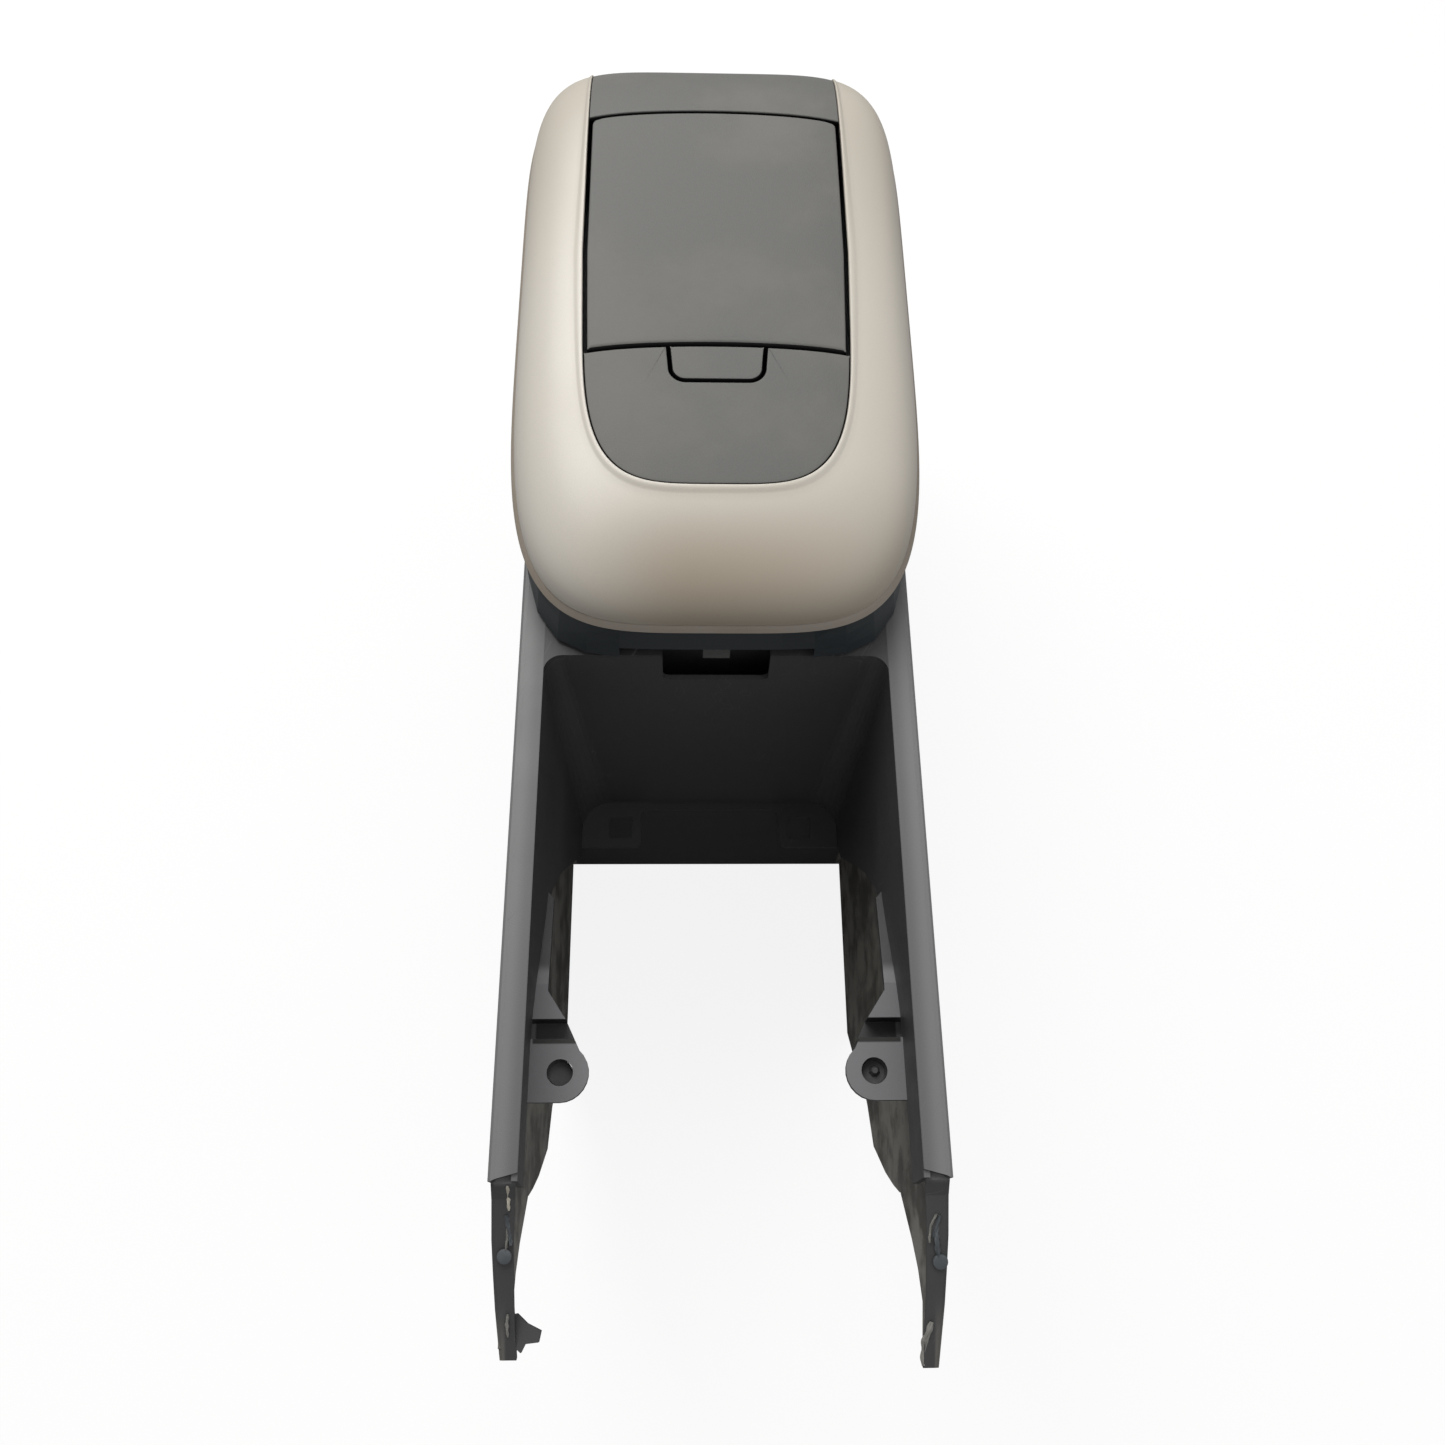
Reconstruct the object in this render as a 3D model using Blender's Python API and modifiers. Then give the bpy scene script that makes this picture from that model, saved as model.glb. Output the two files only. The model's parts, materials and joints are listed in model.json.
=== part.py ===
"""Rear section of a floor console with a hinged armrest lid. Metres, +Z up.

The console frame has its zero in Y at the front end of the two flanges and its
zero in Z on the floor. An empty shifts it, so that the whole part is centred.
"""
import math

import bmesh
import bpy
from mathutils import Matrix, Vector

# Console body
FLANGE_HEIGHT = 0.262
HALF_WIDTH = 0.0874
FLANGE_WIDTH = 0.0114
FLANGE_END_SLANT = 0.0030
SKIN_WALL = 0.0026
SKIN_LEAN = 0.0013
BODY_REAR = 0.541
REAR_RIB_LOW = 0.080
REAR_RIB_HIGH = 0.170
ARM_REACH = 0.066
FRONT_EDGE_FOOT = 0.152
SKIRT_REST_START = 0.097

# Pocket between the legs
POCKET_WALL = 0.0024
POCKET_TAPER = 0.0058
LEG_SPLAY = 0.0030
POCKET_REAR_TOP = 0.218
POCKET_REAR_FOOT = 0.202
POCKET_CORNER_TOP = 0.008
POCKET_CORNER_LOW = 0.016
LINER_DEPTH = 0.044
LEDGE_DROP = 0.164
LEDGE_DEPTH = 0.026
LEDGE_PLATE = 0.003
LEDGE_NOTCH_HALF = 0.038
LEDGE_WEB = 0.004
SQUARE_HOLE = 0.0125

# Bracket tabs at the legs
TAB_Y = 0.045
TAB_X = 0.066
TAB_RADIUS = 0.0120
TAB_HOLE_RADIUS = 0.0055
TAB_PLATE = 0.0032
TAB_STEP_START = 0.0588
TAB_STEP_END = 0.0671
TAB_STEP_DROP = 0.011

# Opening for the storage bin, and the bin
DECK_WALL = 0.0026
BIN_SIDE_ROOM = 0.0194
BIN_FRONT = 0.232
BIN_REAR = 0.524
BIN_FLOOR = 0.034
BIN_WALL = 0.0022
BIN_RIM = 0.006
BIN_CORNER = 0.014
BIN_DRAFT = 0.004

# Latch slot in the pocket's rear wall
SLOT_HALF = 0.024
SLOT_DEPTH = 0.022

# Lid, in plan one superellipse ahead of its widest place and a squarer one behind
LID_CENTRE_Y = 0.3948
LID_OVERHANG = 0.0047
LID_FRONT_LENGTH = 0.1748
LID_REAR_LENGTH = 0.1452
LID_FRONT_POWER = 4.3
LID_REAR_POWER = 5.5
LID_RISE = 0.029
LID_LIP_RISE = 0.025
LID_LIP_DROP = 0.004
LID_LIP_FLARE = 0.0020
LID_WALL = 0.0024
BEAD_WIDTH = 0.0046
BEAD_HEIGHT = 0.0008

# Opening of the lid frame, and what fills it
FRAME_BORDER = 0.0346
OPENING_SPREAD = 0.0039
OPENING_SPREAD_RUN = 0.127
OPENING_FRONT = 0.273
OPENING_ROUND = 0.100
OPENING_POWER = 4.1
DOOR_FRONT = 0.3459
DOOR_REAR = 0.4887
DOOR_FRONT_BOW = 0.0030
DOOR_REAR_BOW = 0.0040
DOOR_REAR_BEVEL = 0.0010
DOOR_LIP = 0.0022
DOOR_LIP_DROP = 0.0060
DOOR_SIDE_GAP = 0.0021
PANEL_GAP = 0.0004
FRONT_GAP = 0.0018
REAR_GAP = 0.0019
INSERT_SINK = 0.0002

# Release button in the front panel
BUTTON_HALF = 0.0198
BUTTON_LENGTH = 0.0178
BUTTON_CORNER = 0.006
BUTTON_GAP = 0.0017
BUTTON_TRAVEL = 0.0025

# Lower shell of the lid
SHELL_TOP_TUCK = 0.0010
SHELL_TOP_RUN = 0.0007
SHELL_FOOT_TUCK = 0.0041
SHELL_FOOT_RUN = 0.0045
SHELL_FOOT_POWER = 6.0
SHELL_LIFT = 0.0012
SHELL_FLOOR_LIFT = 0.0090
SHELL_WALL = 0.0022
SHELL_NOTCH_HALF = 0.0427
SHELL_NOTCH_TOP = 0.0080

# Tray under the door
TRAY_SIDE_ROOM = 0.0055
TRAY_FRONT = 0.356
TRAY_REAR = 0.476
TRAY_TOP_LIFT = 0.0400
TRAY_WALL = 0.0020
TRAY_RIM = 0.0035
TRAY_CORNER = 0.010

# Hinges, pins and screws
HINGE_Y = 0.5435
HINGE_LIFT = 0.0030
KNUCKLE_RADIUS = 0.0026
KNUCKLE_LENGTH = 0.015
HINGE_PIN_RADIUS = 0.0015
HINGE_PLATE = 0.0015
DOOR_AXIS_Y = 0.4805
DOOR_AXIS_LIFT = 0.0473
DOOR_PIN_RADIUS = 0.0011
DOOR_KNUCKLE_RADIUS = 0.0020
LATCH_AXIS_Y = 0.229
LATCH_AXIS_LIFT = 0.0150
TONGUE_HALF = 0.006
SCREW_HEAD_RADIUS = 0.0030
SCREW_HEAD_HEIGHT = 0.0016
SCREW_SHANK_RADIUS = 0.0014
SCREW_SHANK_LENGTH = 0.0090
BOSS_RADIUS = 0.0035
STOP_GAP = 0.0045
STOP_AHEAD = 0.0948
CUT_BELOW = 0.030
CUT_ABOVE = 0.050

SEAT_GAP = 0.0003
RUN_GAP = 0.0004

RING_STEPS = 80
ARC_STEPS = 6

BIN_HALF = HALF_WIDTH - BIN_SIDE_ROOM
LID_HALF_WIDTH = HALF_WIDTH + LID_OVERHANG
OPENING_HALF = LID_HALF_WIDTH - FRAME_BORDER
TRAY_HALF = OPENING_HALF - TRAY_SIDE_ROOM
DECK_TOP = FLANGE_HEIGHT - 0.0001
LEDGE_Z = FLANGE_HEIGHT - LEDGE_DROP
LIP_Z = FLANGE_HEIGHT + LID_LIP_RISE - LID_LIP_DROP
CREASE_Z = FLANGE_HEIGHT + LID_LIP_RISE
SHELL_FOOT_Z = FLANGE_HEIGHT + SHELL_LIFT
SHELL_FLOOR_Z = FLANGE_HEIGHT + SHELL_FLOOR_LIFT
SHELL_FLOOR_TOP = SHELL_FLOOR_Z + SHELL_WALL
SHELL_TOP_Z = LIP_Z - SEAT_GAP
TRAY_TOP_Z = FLANGE_HEIGHT + TRAY_TOP_LIFT
HINGE_Z = FLANGE_HEIGHT + HINGE_LIFT
DOOR_AXIS_Z = FLANGE_HEIGHT + DOOR_AXIS_LIFT
LATCH_AXIS_Z = FLANGE_HEIGHT + LATCH_AXIS_LIFT
SHELL_FRONT = LID_CENTRE_Y - LID_FRONT_LENGTH - SHELL_FOOT_RUN
LID_REAR = LID_CENTRE_Y + LID_REAR_LENGTH + max(SHELL_FOOT_RUN, LID_LIP_FLARE)
OVERALL_REAR = max(LID_REAR, HINGE_Y + KNUCKLE_RADIUS)
FRAME_SHIFT = (ARM_REACH - OVERALL_REAR) / 2


def clear_scene():
    for old in list(bpy.data.objects):
        bpy.data.objects.remove(old, do_unlink=True)


def new_collection(name):
    found = bpy.data.collections.new(name)
    bpy.context.scene.collection.children.link(found)
    return found


clear_scene()
PARTS = new_collection("console_armrest")
CUTTERS = new_collection("cutters")


def new_empty(name, place, parent=None):
    empty = bpy.data.objects.new(name, None)
    empty.empty_display_size = 0.02
    empty.location = place
    empty.parent = parent
    PARTS.objects.link(empty)
    return empty


CONSOLE = new_empty("console_frame", (0, FRAME_SHIFT, 0))
LID_AXIS = new_empty("lid_hinge_axis", (0, HINGE_Y, HINGE_Z), CONSOLE)
DOOR_AXIS = new_empty("tray_door_axis", (0, DOOR_AXIS_Y - HINGE_Y, DOOR_AXIS_Z - HINGE_Z), LID_AXIS)
LATCH_AXIS = new_empty("lid_latch_axis", (0, LATCH_AXIS_Y - HINGE_Y, LATCH_AXIS_Z - HINGE_Z), LID_AXIS)
BUTTON_GUIDE = new_empty("door_button_guide", (0, 0, 0), LID_AXIS)
AXIS_PLACES = {
    CONSOLE: Vector((0, 0, 0)),
    LID_AXIS: Vector((0, HINGE_Y, HINGE_Z)),
    DOOR_AXIS: Vector((0, DOOR_AXIS_Y, DOOR_AXIS_Z)),
    LATCH_AXIS: Vector((0, LATCH_AXIS_Y, LATCH_AXIS_Z)),
    BUTTON_GUIDE: Vector((0, HINGE_Y, HINGE_Z)),
}


# Materials

def new_material(name, colour, roughness, metallic=0.0):
    made = bpy.data.materials.new(name)
    made.use_nodes = True
    shader = made.node_tree.nodes["Principled BSDF"]
    shader.inputs["Base Color"].default_value = (*colour, 1.0)
    shader.inputs["Roughness"].default_value = roughness
    shader.inputs["Metallic"].default_value = metallic
    return made


BEIGE = new_material("beige_satin_paint", (0.60, 0.56, 0.50), 0.38)
GREY_TRIM = new_material("grey_grained_trim", (0.20, 0.20, 0.19), 0.62)
CHARCOAL = new_material("charcoal_moulding", (0.035, 0.036, 0.040), 0.55)
SHELL_DARK = new_material("dark_shell", (0.022, 0.027, 0.030), 0.50)
STEEL = new_material("zinc_steel", (0.55, 0.56, 0.58), 0.35, 1.0)
SPRING_STEEL = new_material("spring_steel", (0.35, 0.36, 0.38), 0.30, 1.0)
RUBBER = new_material("bump_rubber", (0.02, 0.02, 0.02), 0.80)


# Outlines, as lists of points in a plane

def arc(centre_u, centre_v, radius, start, end, steps=ARC_STEPS):
    """Points from angle start to angle end, in degrees."""
    angles = [math.radians(start + (end - start) * k / steps) for k in range(steps + 1)]
    return [(centre_u + radius * math.cos(a), centre_v + radius * math.sin(a)) for a in angles]


def rounded_box(low_u, low_v, high_u, high_v, radius, steps=4):
    return (arc(high_u - radius, low_v + radius, radius, -90, 0, steps)
            + arc(high_u - radius, high_v - radius, radius, 0, 90, steps)
            + arc(low_u + radius, high_v - radius, radius, 90, 180, steps)
            + arc(low_u + radius, low_v + radius, radius, 180, 270, steps))


def smooth_step(low, high, value):
    t = min(max((value - low) / (high - low), 0.0), 1.0)
    return t * t * (3 - 2 * t)


def blend_along(knots, value):
    """Smooth curve through knots (place, height), flat at each knot's end of the row."""
    if value <= knots[0][0]:
        return knots[0][1]
    for (start, low), (end, high) in zip(knots, knots[1:]):
        if value <= end:
            return low + (high - low) * (value - start) / (end - start)
    return knots[-1][1]


def superellipse(angle, grow_side=0.0, grow_ends=0.0, power=0.0):
    """Point at a polar angle on the lid's outline, or on one outside it by the two lengths.

    A power over zero stands for both of the outline's own.
    """
    c, s = math.cos(angle), math.sin(angle)
    length = (LID_REAR_LENGTH if s > 0 else LID_FRONT_LENGTH) + grow_ends
    own = power or (LID_REAR_POWER if s > 0 else LID_FRONT_POWER)
    reach = (abs(c / (LID_HALF_WIDTH + grow_side)) ** own + abs(s / length) ** own) ** (-1 / own)
    return reach * c, LID_CENTRE_Y + reach * s


# Objects

def add_object(name, mesh, parent=CONSOLE, material=None):
    made = bpy.data.objects.new(name, mesh)
    PARTS.objects.link(made)
    if material is not None:
        mesh.materials.append(material)
    made.parent = parent
    mesh.transform(Matrix.Translation(-AXIS_PLACES[parent]))
    return made


def as_cutter(made):
    PARTS.objects.unlink(made)
    CUTTERS.objects.link(made)
    made.hide_render = True
    made.display_type = "WIRE"
    return made


def boolean(target, tool, operation):
    """Join or cut with a tool, which then counts as a cutter."""
    if tool.name not in CUTTERS.objects:
        as_cutter(tool)
    modifier = target.modifiers.new(operation.lower() + "_" + tool.name, "BOOLEAN")
    modifier.operation = operation
    modifier.solver = "EXACT"
    modifier.object = tool


def solidify(made, wall, offset=-1.0):
    modifier = made.modifiers.new("wall", "SOLIDIFY")
    modifier.thickness = wall
    modifier.offset = offset
    modifier.use_even_offset = True
    modifier.use_quality_normals = True


def mesh_from(bm, name, smooth=True):
    bmesh.ops.recalc_face_normals(bm, faces=bm.faces)
    if bm.calc_volume(signed=True) < 0:
        bmesh.ops.reverse_faces(bm, faces=bm.faces)
    mesh = bpy.data.meshes.new(name)
    bm.to_mesh(mesh)
    bm.free()
    if smooth:
        mesh.shade_smooth()
        mesh.set_sharp_from_angle(angle=math.radians(35))
    return mesh


PLANES = {
    "XY": Matrix.Identity(4),
    "YZ": Matrix(((0, 0, 1, 0), (1, 0, 0, 0), (0, 1, 0, 0), (0, 0, 0, 1))),
    "XZ": Matrix(((1, 0, 0, 0), (0, 0, -1, 0), (0, 1, 0, 0), (0, 0, 0, 1))),
}


def plate(name, outlines, low, high, plane="XY", parent=CONSOLE, material=None):
    """Flat outline, with holes if more than one is given, as a solid from low to high."""
    curve = bpy.data.curves.new(name, "CURVE")
    curve.dimensions = "2D"
    curve.fill_mode = "BOTH"
    curve.extrude = (high - low) / 2
    for outline in outlines:
        spline = curve.splines.new("POLY")
        spline.points.add(len(outline) - 1)
        for point, (u, v) in zip(spline.points, outline):
            point.co = (u, v, 0, 1)
        spline.use_cyclic_u = True
    guide = bpy.data.objects.new(name + "_curve", curve)
    bpy.context.scene.collection.objects.link(guide)
    graph = bpy.context.evaluated_depsgraph_get()
    flat = bpy.data.meshes.new_from_object(guide.evaluated_get(graph))
    bm = bmesh.new()
    bm.from_mesh(flat)
    bmesh.ops.remove_doubles(bm, verts=bm.verts, dist=1e-6)
    bpy.data.objects.remove(guide, do_unlink=True)
    middle = (low + high) / 2
    shift = {"XY": (0, 0, middle), "YZ": (middle, 0, 0), "XZ": (0, middle, 0)}[plane]
    bm.transform(Matrix.Translation(shift) @ PLANES[plane])
    return add_object(name, mesh_from(bm, name), parent, material)


def box(name, low, high, parent=CONSOLE, material=None):
    bm = bmesh.new()
    size = [b - a for a, b in zip(low, high)]
    centre = [(a + b) / 2 for a, b in zip(low, high)]
    place = Matrix.Translation(centre) @ Matrix.Diagonal((*size, 1))
    bmesh.ops.create_cube(bm, size=1.0, matrix=place)
    return add_object(name, mesh_from(bm, name, False), parent, material)


TURNS = {
    "X": Matrix.Rotation(math.radians(90), 4, "Y"),
    "Y": Matrix.Rotation(math.radians(90), 4, "X"),
    "Z": Matrix.Identity(4),
}


def add_cylinder(bm, centre, radius, length, axis="X", segments=20, top_radius=None):
    bmesh.ops.create_cone(
        bm, cap_ends=True, segments=segments, radius1=radius,
        radius2=radius if top_radius is None else top_radius, depth=length,
        matrix=Matrix.Translation(centre) @ TURNS[axis])


def cylinder(name, centre, radius, length, axis="X", parent=CONSOLE, material=None, segments=20):
    bm = bmesh.new()
    add_cylinder(bm, centre, radius, length, axis, segments)
    return add_object(name, mesh_from(bm, name), parent, material)


def skin_grid(name, rows, parent=CONSOLE, material=None):
    """Open surface through rows of points."""
    bm = bmesh.new()
    grid = [[bm.verts.new(point) for point in row] for row in rows]
    for near, far in zip(grid, grid[1:]):
        for k in range(len(near) - 1):
            bm.faces.new((near[k], near[k + 1], far[k + 1], far[k]))
    mesh = bpy.data.meshes.new(name)
    bm.to_mesh(mesh)
    bm.free()
    mesh.shade_smooth()
    return add_object(name, mesh, parent, material)


def tube_of_sections(name, sections, parent=CONSOLE, material=None):
    """Solid through closed sections, with its two ends capped."""
    bm = bmesh.new()
    loops = [[bm.verts.new(point) for point in section] for section in sections]
    count = len(loops[0])
    for near, far in zip(loops, loops[1:]):
        for k in range(count):
            bm.faces.new((near[k], near[(k + 1) % count], far[(k + 1) % count], far[k]))
    bm.faces.new(loops[0])
    bm.faces.new(loops[-1])
    return add_object(name, mesh_from(bm, name), parent, material)


def solid_of_rings(name, rings, parent=CONSOLE, material=None):
    """Solid through closed rings from one flat cap to another."""
    bm = bmesh.new()
    loops = [[bm.verts.new(point) for point in ring] for ring in rings]
    count = len(loops[0])
    for near, far in zip(loops, loops[1:]):
        for k in range(count):
            bm.faces.new((near[k], near[(k + 1) % count], far[(k + 1) % count], far[k]))
    bm.faces.new(loops[0])
    bm.faces.new(loops[-1])
    return add_object(name, mesh_from(bm, name), parent, material)


# Console body

def skin_edge_x(z):
    """Outer face of the skin: it leans in slightly towards the floor."""
    return HALF_WIDTH - SKIN_LEAN * (1 - z / FLANGE_HEIGHT)


def skirt_foot(y):
    """Height of the skin's lower edge: it sweeps up towards the front end."""
    knots = [(0.0, FRONT_EDGE_FOOT), (0.004, 0.136), (0.011, 0.114), (0.026, 0.080), (0.048, 0.066),
             (0.062, 0.052), (0.080, 0.022), (SKIRT_REST_START, 0.0)]
    return blend_along(knots, y)


def side_skin(side):
    """Flange and outer skin of one side as one bent sheet."""
    stations = [0.0, 0.004, 0.011, 0.018, 0.026, 0.036, 0.048, 0.062, 0.071, 0.080, SKIRT_REST_START,
                0.140, 0.200, 0.300, 0.400, 0.480, BODY_REAR]
    shares = (0.0, 0.10, 0.25, 0.45, 0.65, 0.85, 1.0)
    rows = []
    for y in stations:
        top = FLANGE_HEIGHT
        slant = FLANGE_END_SLANT if y == 0 else 0.0
        row = [(HALF_WIDTH - FLANGE_WIDTH, y + slant, top), (HALF_WIDTH - 0.0030, y + slant * 0.26, top),
               (HALF_WIDTH - 0.0013, y, top - 0.0002), (HALF_WIDTH - 0.0003, y, top - 0.0009),
               (HALF_WIDTH, y, top - 0.0024)]
        start = top - 0.008
        foot = skirt_foot(y)
        for share in shares:
            z = start + (foot - start) * share
            row.append((skin_edge_x(z), y, z))
        rows.append([(side * x, y, z) for x, y, z in row])
    if side < 0:
        rows.reverse()
    made = skin_grid("side_skin_right" if side > 0 else "side_skin_left", rows)
    solidify(made, SKIN_WALL)
    return made


def pocket_rear(z):
    return POCKET_REAR_FOOT + (POCKET_REAR_TOP - POCKET_REAR_FOOT) * z / FLANGE_HEIGHT


def pocket_foot(y):
    """Height of the pocket wall's lower edge along the legs."""
    top = FLANGE_HEIGHT
    ledge_front = pocket_rear(LEDGE_Z) - LEDGE_DEPTH
    knots = [(0.078, top - LINER_DEPTH), (0.120, top - 0.052), (0.142, top - 0.082),
             (ledge_front - 0.004, LEDGE_Z - 0.002)]
    return blend_along(knots, y)


def pocket_half(y, share):
    """Half width of the pocket: upright at the front, drawn in near the rear wall."""
    edge = HALF_WIDTH - FLANGE_WIDTH + 0.0001
    drawn_in = smooth_step(0.06, 0.18, y)
    splay = LEG_SPLAY * share * LEDGE_DROP / LINER_DEPTH
    return edge - POCKET_TAPER * share * drawn_in + splay * (1 - smooth_step(0.05, 0.12, y))


def pocket_wall():
    """Side walls and rear wall of the pocket as one sheet with deep corner fillets."""
    top = FLANGE_HEIGHT - DECK_WALL / 2
    leg_shares = [0.0, 0.10, 0.20, 0.30, 0.37, 0.45, 0.53, 0.60, 0.68, 0.76, 0.84, 0.90, 0.95, 1.0]
    depth_shares = [0.0, 0.08, 0.2, 0.35, 0.5, 0.65, 0.8, 0.92, 1.0]
    rows = []
    for depth in depth_shares:
        z_rear = top + (LEDGE_Z - 0.002 - top) * depth
        rear = pocket_rear(z_rear)
        radius = POCKET_CORNER_TOP + (POCKET_CORNER_LOW - POCKET_CORNER_TOP) * depth
        half_rear = pocket_half(rear, depth)
        leg = []
        for share in leg_shares:
            y = share * (rear - radius)
            z = top + (pocket_foot(y) - top) * depth
            fall = (top - z) / (top - LEDGE_Z + 0.002)
            leg.append((pocket_half(y, fall), y, z))
        corner = [(x, y, z_rear) for x, y in
                  arc(half_rear - radius, rear - radius, radius, 0, 90, 7)][1:]
        right = leg + corner
        left = [(-x, y, z) for x, y, z in reversed(right)]
        rows.append(right + left)
    made = skin_grid("pocket_wall", rows)
    solidify(made, POCKET_WALL)
    return made


def ledge():
    """Shelf at the foot of the pocket's rear wall, with its duct notch and clip holes."""
    rear = pocket_rear(LEDGE_Z)
    front = rear - LEDGE_DEPTH
    half = pocket_half(rear, 1.0) + POCKET_WALL / 2
    notch = LEDGE_NOTCH_HALF
    r = 0.004
    notch_rear = rear - LEDGE_WEB
    side = (arc(notch + r, front + r, r, -90, -180, 3) + arc(notch - r, notch_rear - r, r, 0, 90, 3))
    outline = [(half, front), *side, *[(-x, y) for x, y in reversed(side)], (-half, front),
               (-half, rear + 0.001), (half, rear + 0.001)]
    hole_low = notch + 0.005
    holes = [rounded_box(s * hole_low if s > 0 else -hole_low - SQUARE_HOLE, front + 0.005,
                         s * hole_low + SQUARE_HOLE if s > 0 else -hole_low,
                         front + 0.005 + SQUARE_HOLE, 0.001, 2) for s in (1, -1)]
    return plate("pocket_ledge", [outline, *holes], LEDGE_Z - LEDGE_PLATE, LEDGE_Z)


def lower_wall():
    """Wall under the ledge, down to the floor, between the two skins."""
    half = HALF_WIDTH - SKIN_LEAN - SKIN_WALL + 0.0006
    high = LEDGE_Z - LEDGE_PLATE / 2
    outline = [(POCKET_REAR_FOOT, 0), (POCKET_REAR_FOOT + POCKET_WALL, 0),
               (pocket_rear(high) + POCKET_WALL, high), (pocket_rear(high), high)]
    return plate("lower_wall", [outline], -half, half, "YZ")


def side_shelf(side):
    """Web that joins the pocket's foot to the skin beside the ledge."""
    rear = pocket_rear(LEDGE_Z)
    inner = pocket_half(rear, 1.0) - 0.012
    outer = skin_edge_x(LEDGE_Z) - SKIN_WALL / 2
    low, high = sorted((side * inner, side * outer))
    return box("side_shelf_%d" % side, (low, rear - 0.010, LEDGE_Z - LEDGE_PLATE * 0.9),
               (high, rear + 0.0015, LEDGE_Z - LEDGE_PLATE * 0.2))


def bracket_tab(side):
    """Bracket tab with its screw hole, sunk step, gusset and the lip along the pocket's foot."""
    top = FLANGE_HEIGHT - LINER_DEPTH + 0.0006
    low = top - TAB_PLATE
    drop = TAB_STEP_DROP
    lip_end = 0.126
    stair = [(TAB_Y - TAB_RADIUS - 0.002, top), (TAB_STEP_START, top), (TAB_STEP_START, top - drop),
             (TAB_STEP_END, top - drop), (TAB_STEP_END, top), (0.082, top), (lip_end, top - 0.009),
             (lip_end, low - 0.009), (0.082, low), (TAB_STEP_END + TAB_PLATE, low),
             (TAB_STEP_END + TAB_PLATE, low - drop), (TAB_STEP_START - TAB_PLATE, low - drop),
             (TAB_STEP_START - TAB_PLATE, low), (TAB_Y - TAB_RADIUS - 0.002, low)]
    wall_x = HALF_WIDTH - FLANGE_WIDTH + LEG_SPLAY + POCKET_WALL * 0.7
    inner_x = TAB_X - TAB_RADIUS - 0.001
    low_x, high_x = sorted((side * inner_x, side * wall_x))
    tab = plate("bracket_tab_%d" % side, [stair], low_x, high_x, "YZ")
    edge_x = HALF_WIDTH - FLANGE_WIDTH
    outline = [(wall_x + 0.001, TAB_Y - TAB_RADIUS)]
    outline += arc(TAB_X, TAB_Y, TAB_RADIUS, 270, 130, 10)
    outline += [(TAB_X - 0.0015, TAB_STEP_END), (edge_x - 0.0036, 0.079),
                (edge_x - 0.0036, lip_end - 0.004), (edge_x, lip_end), (wall_x + 0.001, lip_end)]
    outline = [(side * x, y) for x, y in outline]
    hole = [(side * TAB_X + u, v) for u, v in arc(0, TAB_Y, TAB_HOLE_RADIUS, 0, 345, 23)]
    limit = plate("tab_outline_%d" % side, [outline, hole], low - 0.020, top + 0.010)
    boolean(tab, limit, "INTERSECT")
    return tab


def front_arm(side):
    """Arm that runs on from the flange's end, lower and narrower, to its broken tip."""
    reach = ARM_REACH if side > 0 else ARM_REACH - 0.0045
    stations = [0.0085, -0.0007, -0.006, -0.012, -0.020, -0.032, -0.044, -0.055, -reach]
    drops = [(-0.066, 0.0335), (-0.044, 0.0242), (-0.020, 0.0140), (-0.006, 0.0078), (-0.0007, 0.0032)]
    bends = [(-0.066, 0.0044), (-0.041, 0.0018), (-0.020, 0.0007), (0.0, 0.0007)]
    rows = []
    for y in stations:
        share = max(-y, 0.0) / ARM_REACH
        top = FLANGE_HEIGHT - blend_along(drops, y)
        foot = blend_along([(-0.066, FLANGE_HEIGHT - 0.056), (-0.040, FLANGE_HEIGHT - 0.060),
                            (-0.018, FLANGE_HEIGHT - 0.086), (0.0, FRONT_EDGE_FOOT + 0.004)], y)
        width = 0.0095 - 0.0030 * share
        edge = HALF_WIDTH - blend_along(bends, y)
        row = [(edge - width, y, top), (edge - 0.0016, y, top), (edge - 0.0003, y, top - 0.0010),
               (edge, y, top - 0.0030)]
        for k in (0.25, 0.5, 0.75, 1.0):
            z = top - 0.003 + (foot - top + 0.003) * k
            row.append((edge - 0.0006 * k, y, z))
        rows.append([(side * x, y, z) for x, y, z in row])
    if side > 0:
        rows.reverse()
    made = skin_grid("front_arm_%d" % side, rows)
    solidify(made, 0.0022)
    return made


def broken_hook():
    """Stub of a snapped hook that still hangs from the left arm's tip."""
    outer = HALF_WIDTH - 0.0036
    outline = [(-outer, -0.0465), (-outer + 0.0065, -0.0455), (-outer + 0.0105, -0.0490),
               (-outer + 0.0158, -0.0515), (-outer + 0.0150, -0.0555), (-outer + 0.0100, -0.0560),
               (-outer + 0.0085, -0.0590), (-outer + 0.0055, -0.0565), (-outer, -0.0575)]
    return plate("broken_hook", [outline], FLANGE_HEIGHT - 0.0345, FLANGE_HEIGHT - 0.0300)


def deck():
    """Top plate round the storage bin, with filleted corners to the pocket."""
    half = HALF_WIDTH - 0.006
    inner = HALF_WIDTH - FLANGE_WIDTH + 0.0002
    r = POCKET_CORNER_TOP
    corner = arc(inner - r, POCKET_REAR_TOP - r, r, 0, 90, 7)
    side = [(half, POCKET_REAR_TOP - r - 0.006), (inner, POCKET_REAR_TOP - r - 0.006), *corner]
    outline = side + [(-x, y) for x, y in reversed(side)] + [(-half, BODY_REAR), (half, BODY_REAR)]
    opening = rounded_box(-BIN_HALF, BIN_FRONT, BIN_HALF, BIN_REAR, BIN_CORNER)
    return plate("deck", [outline, opening], DECK_TOP - DECK_WALL, DECK_TOP)


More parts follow.
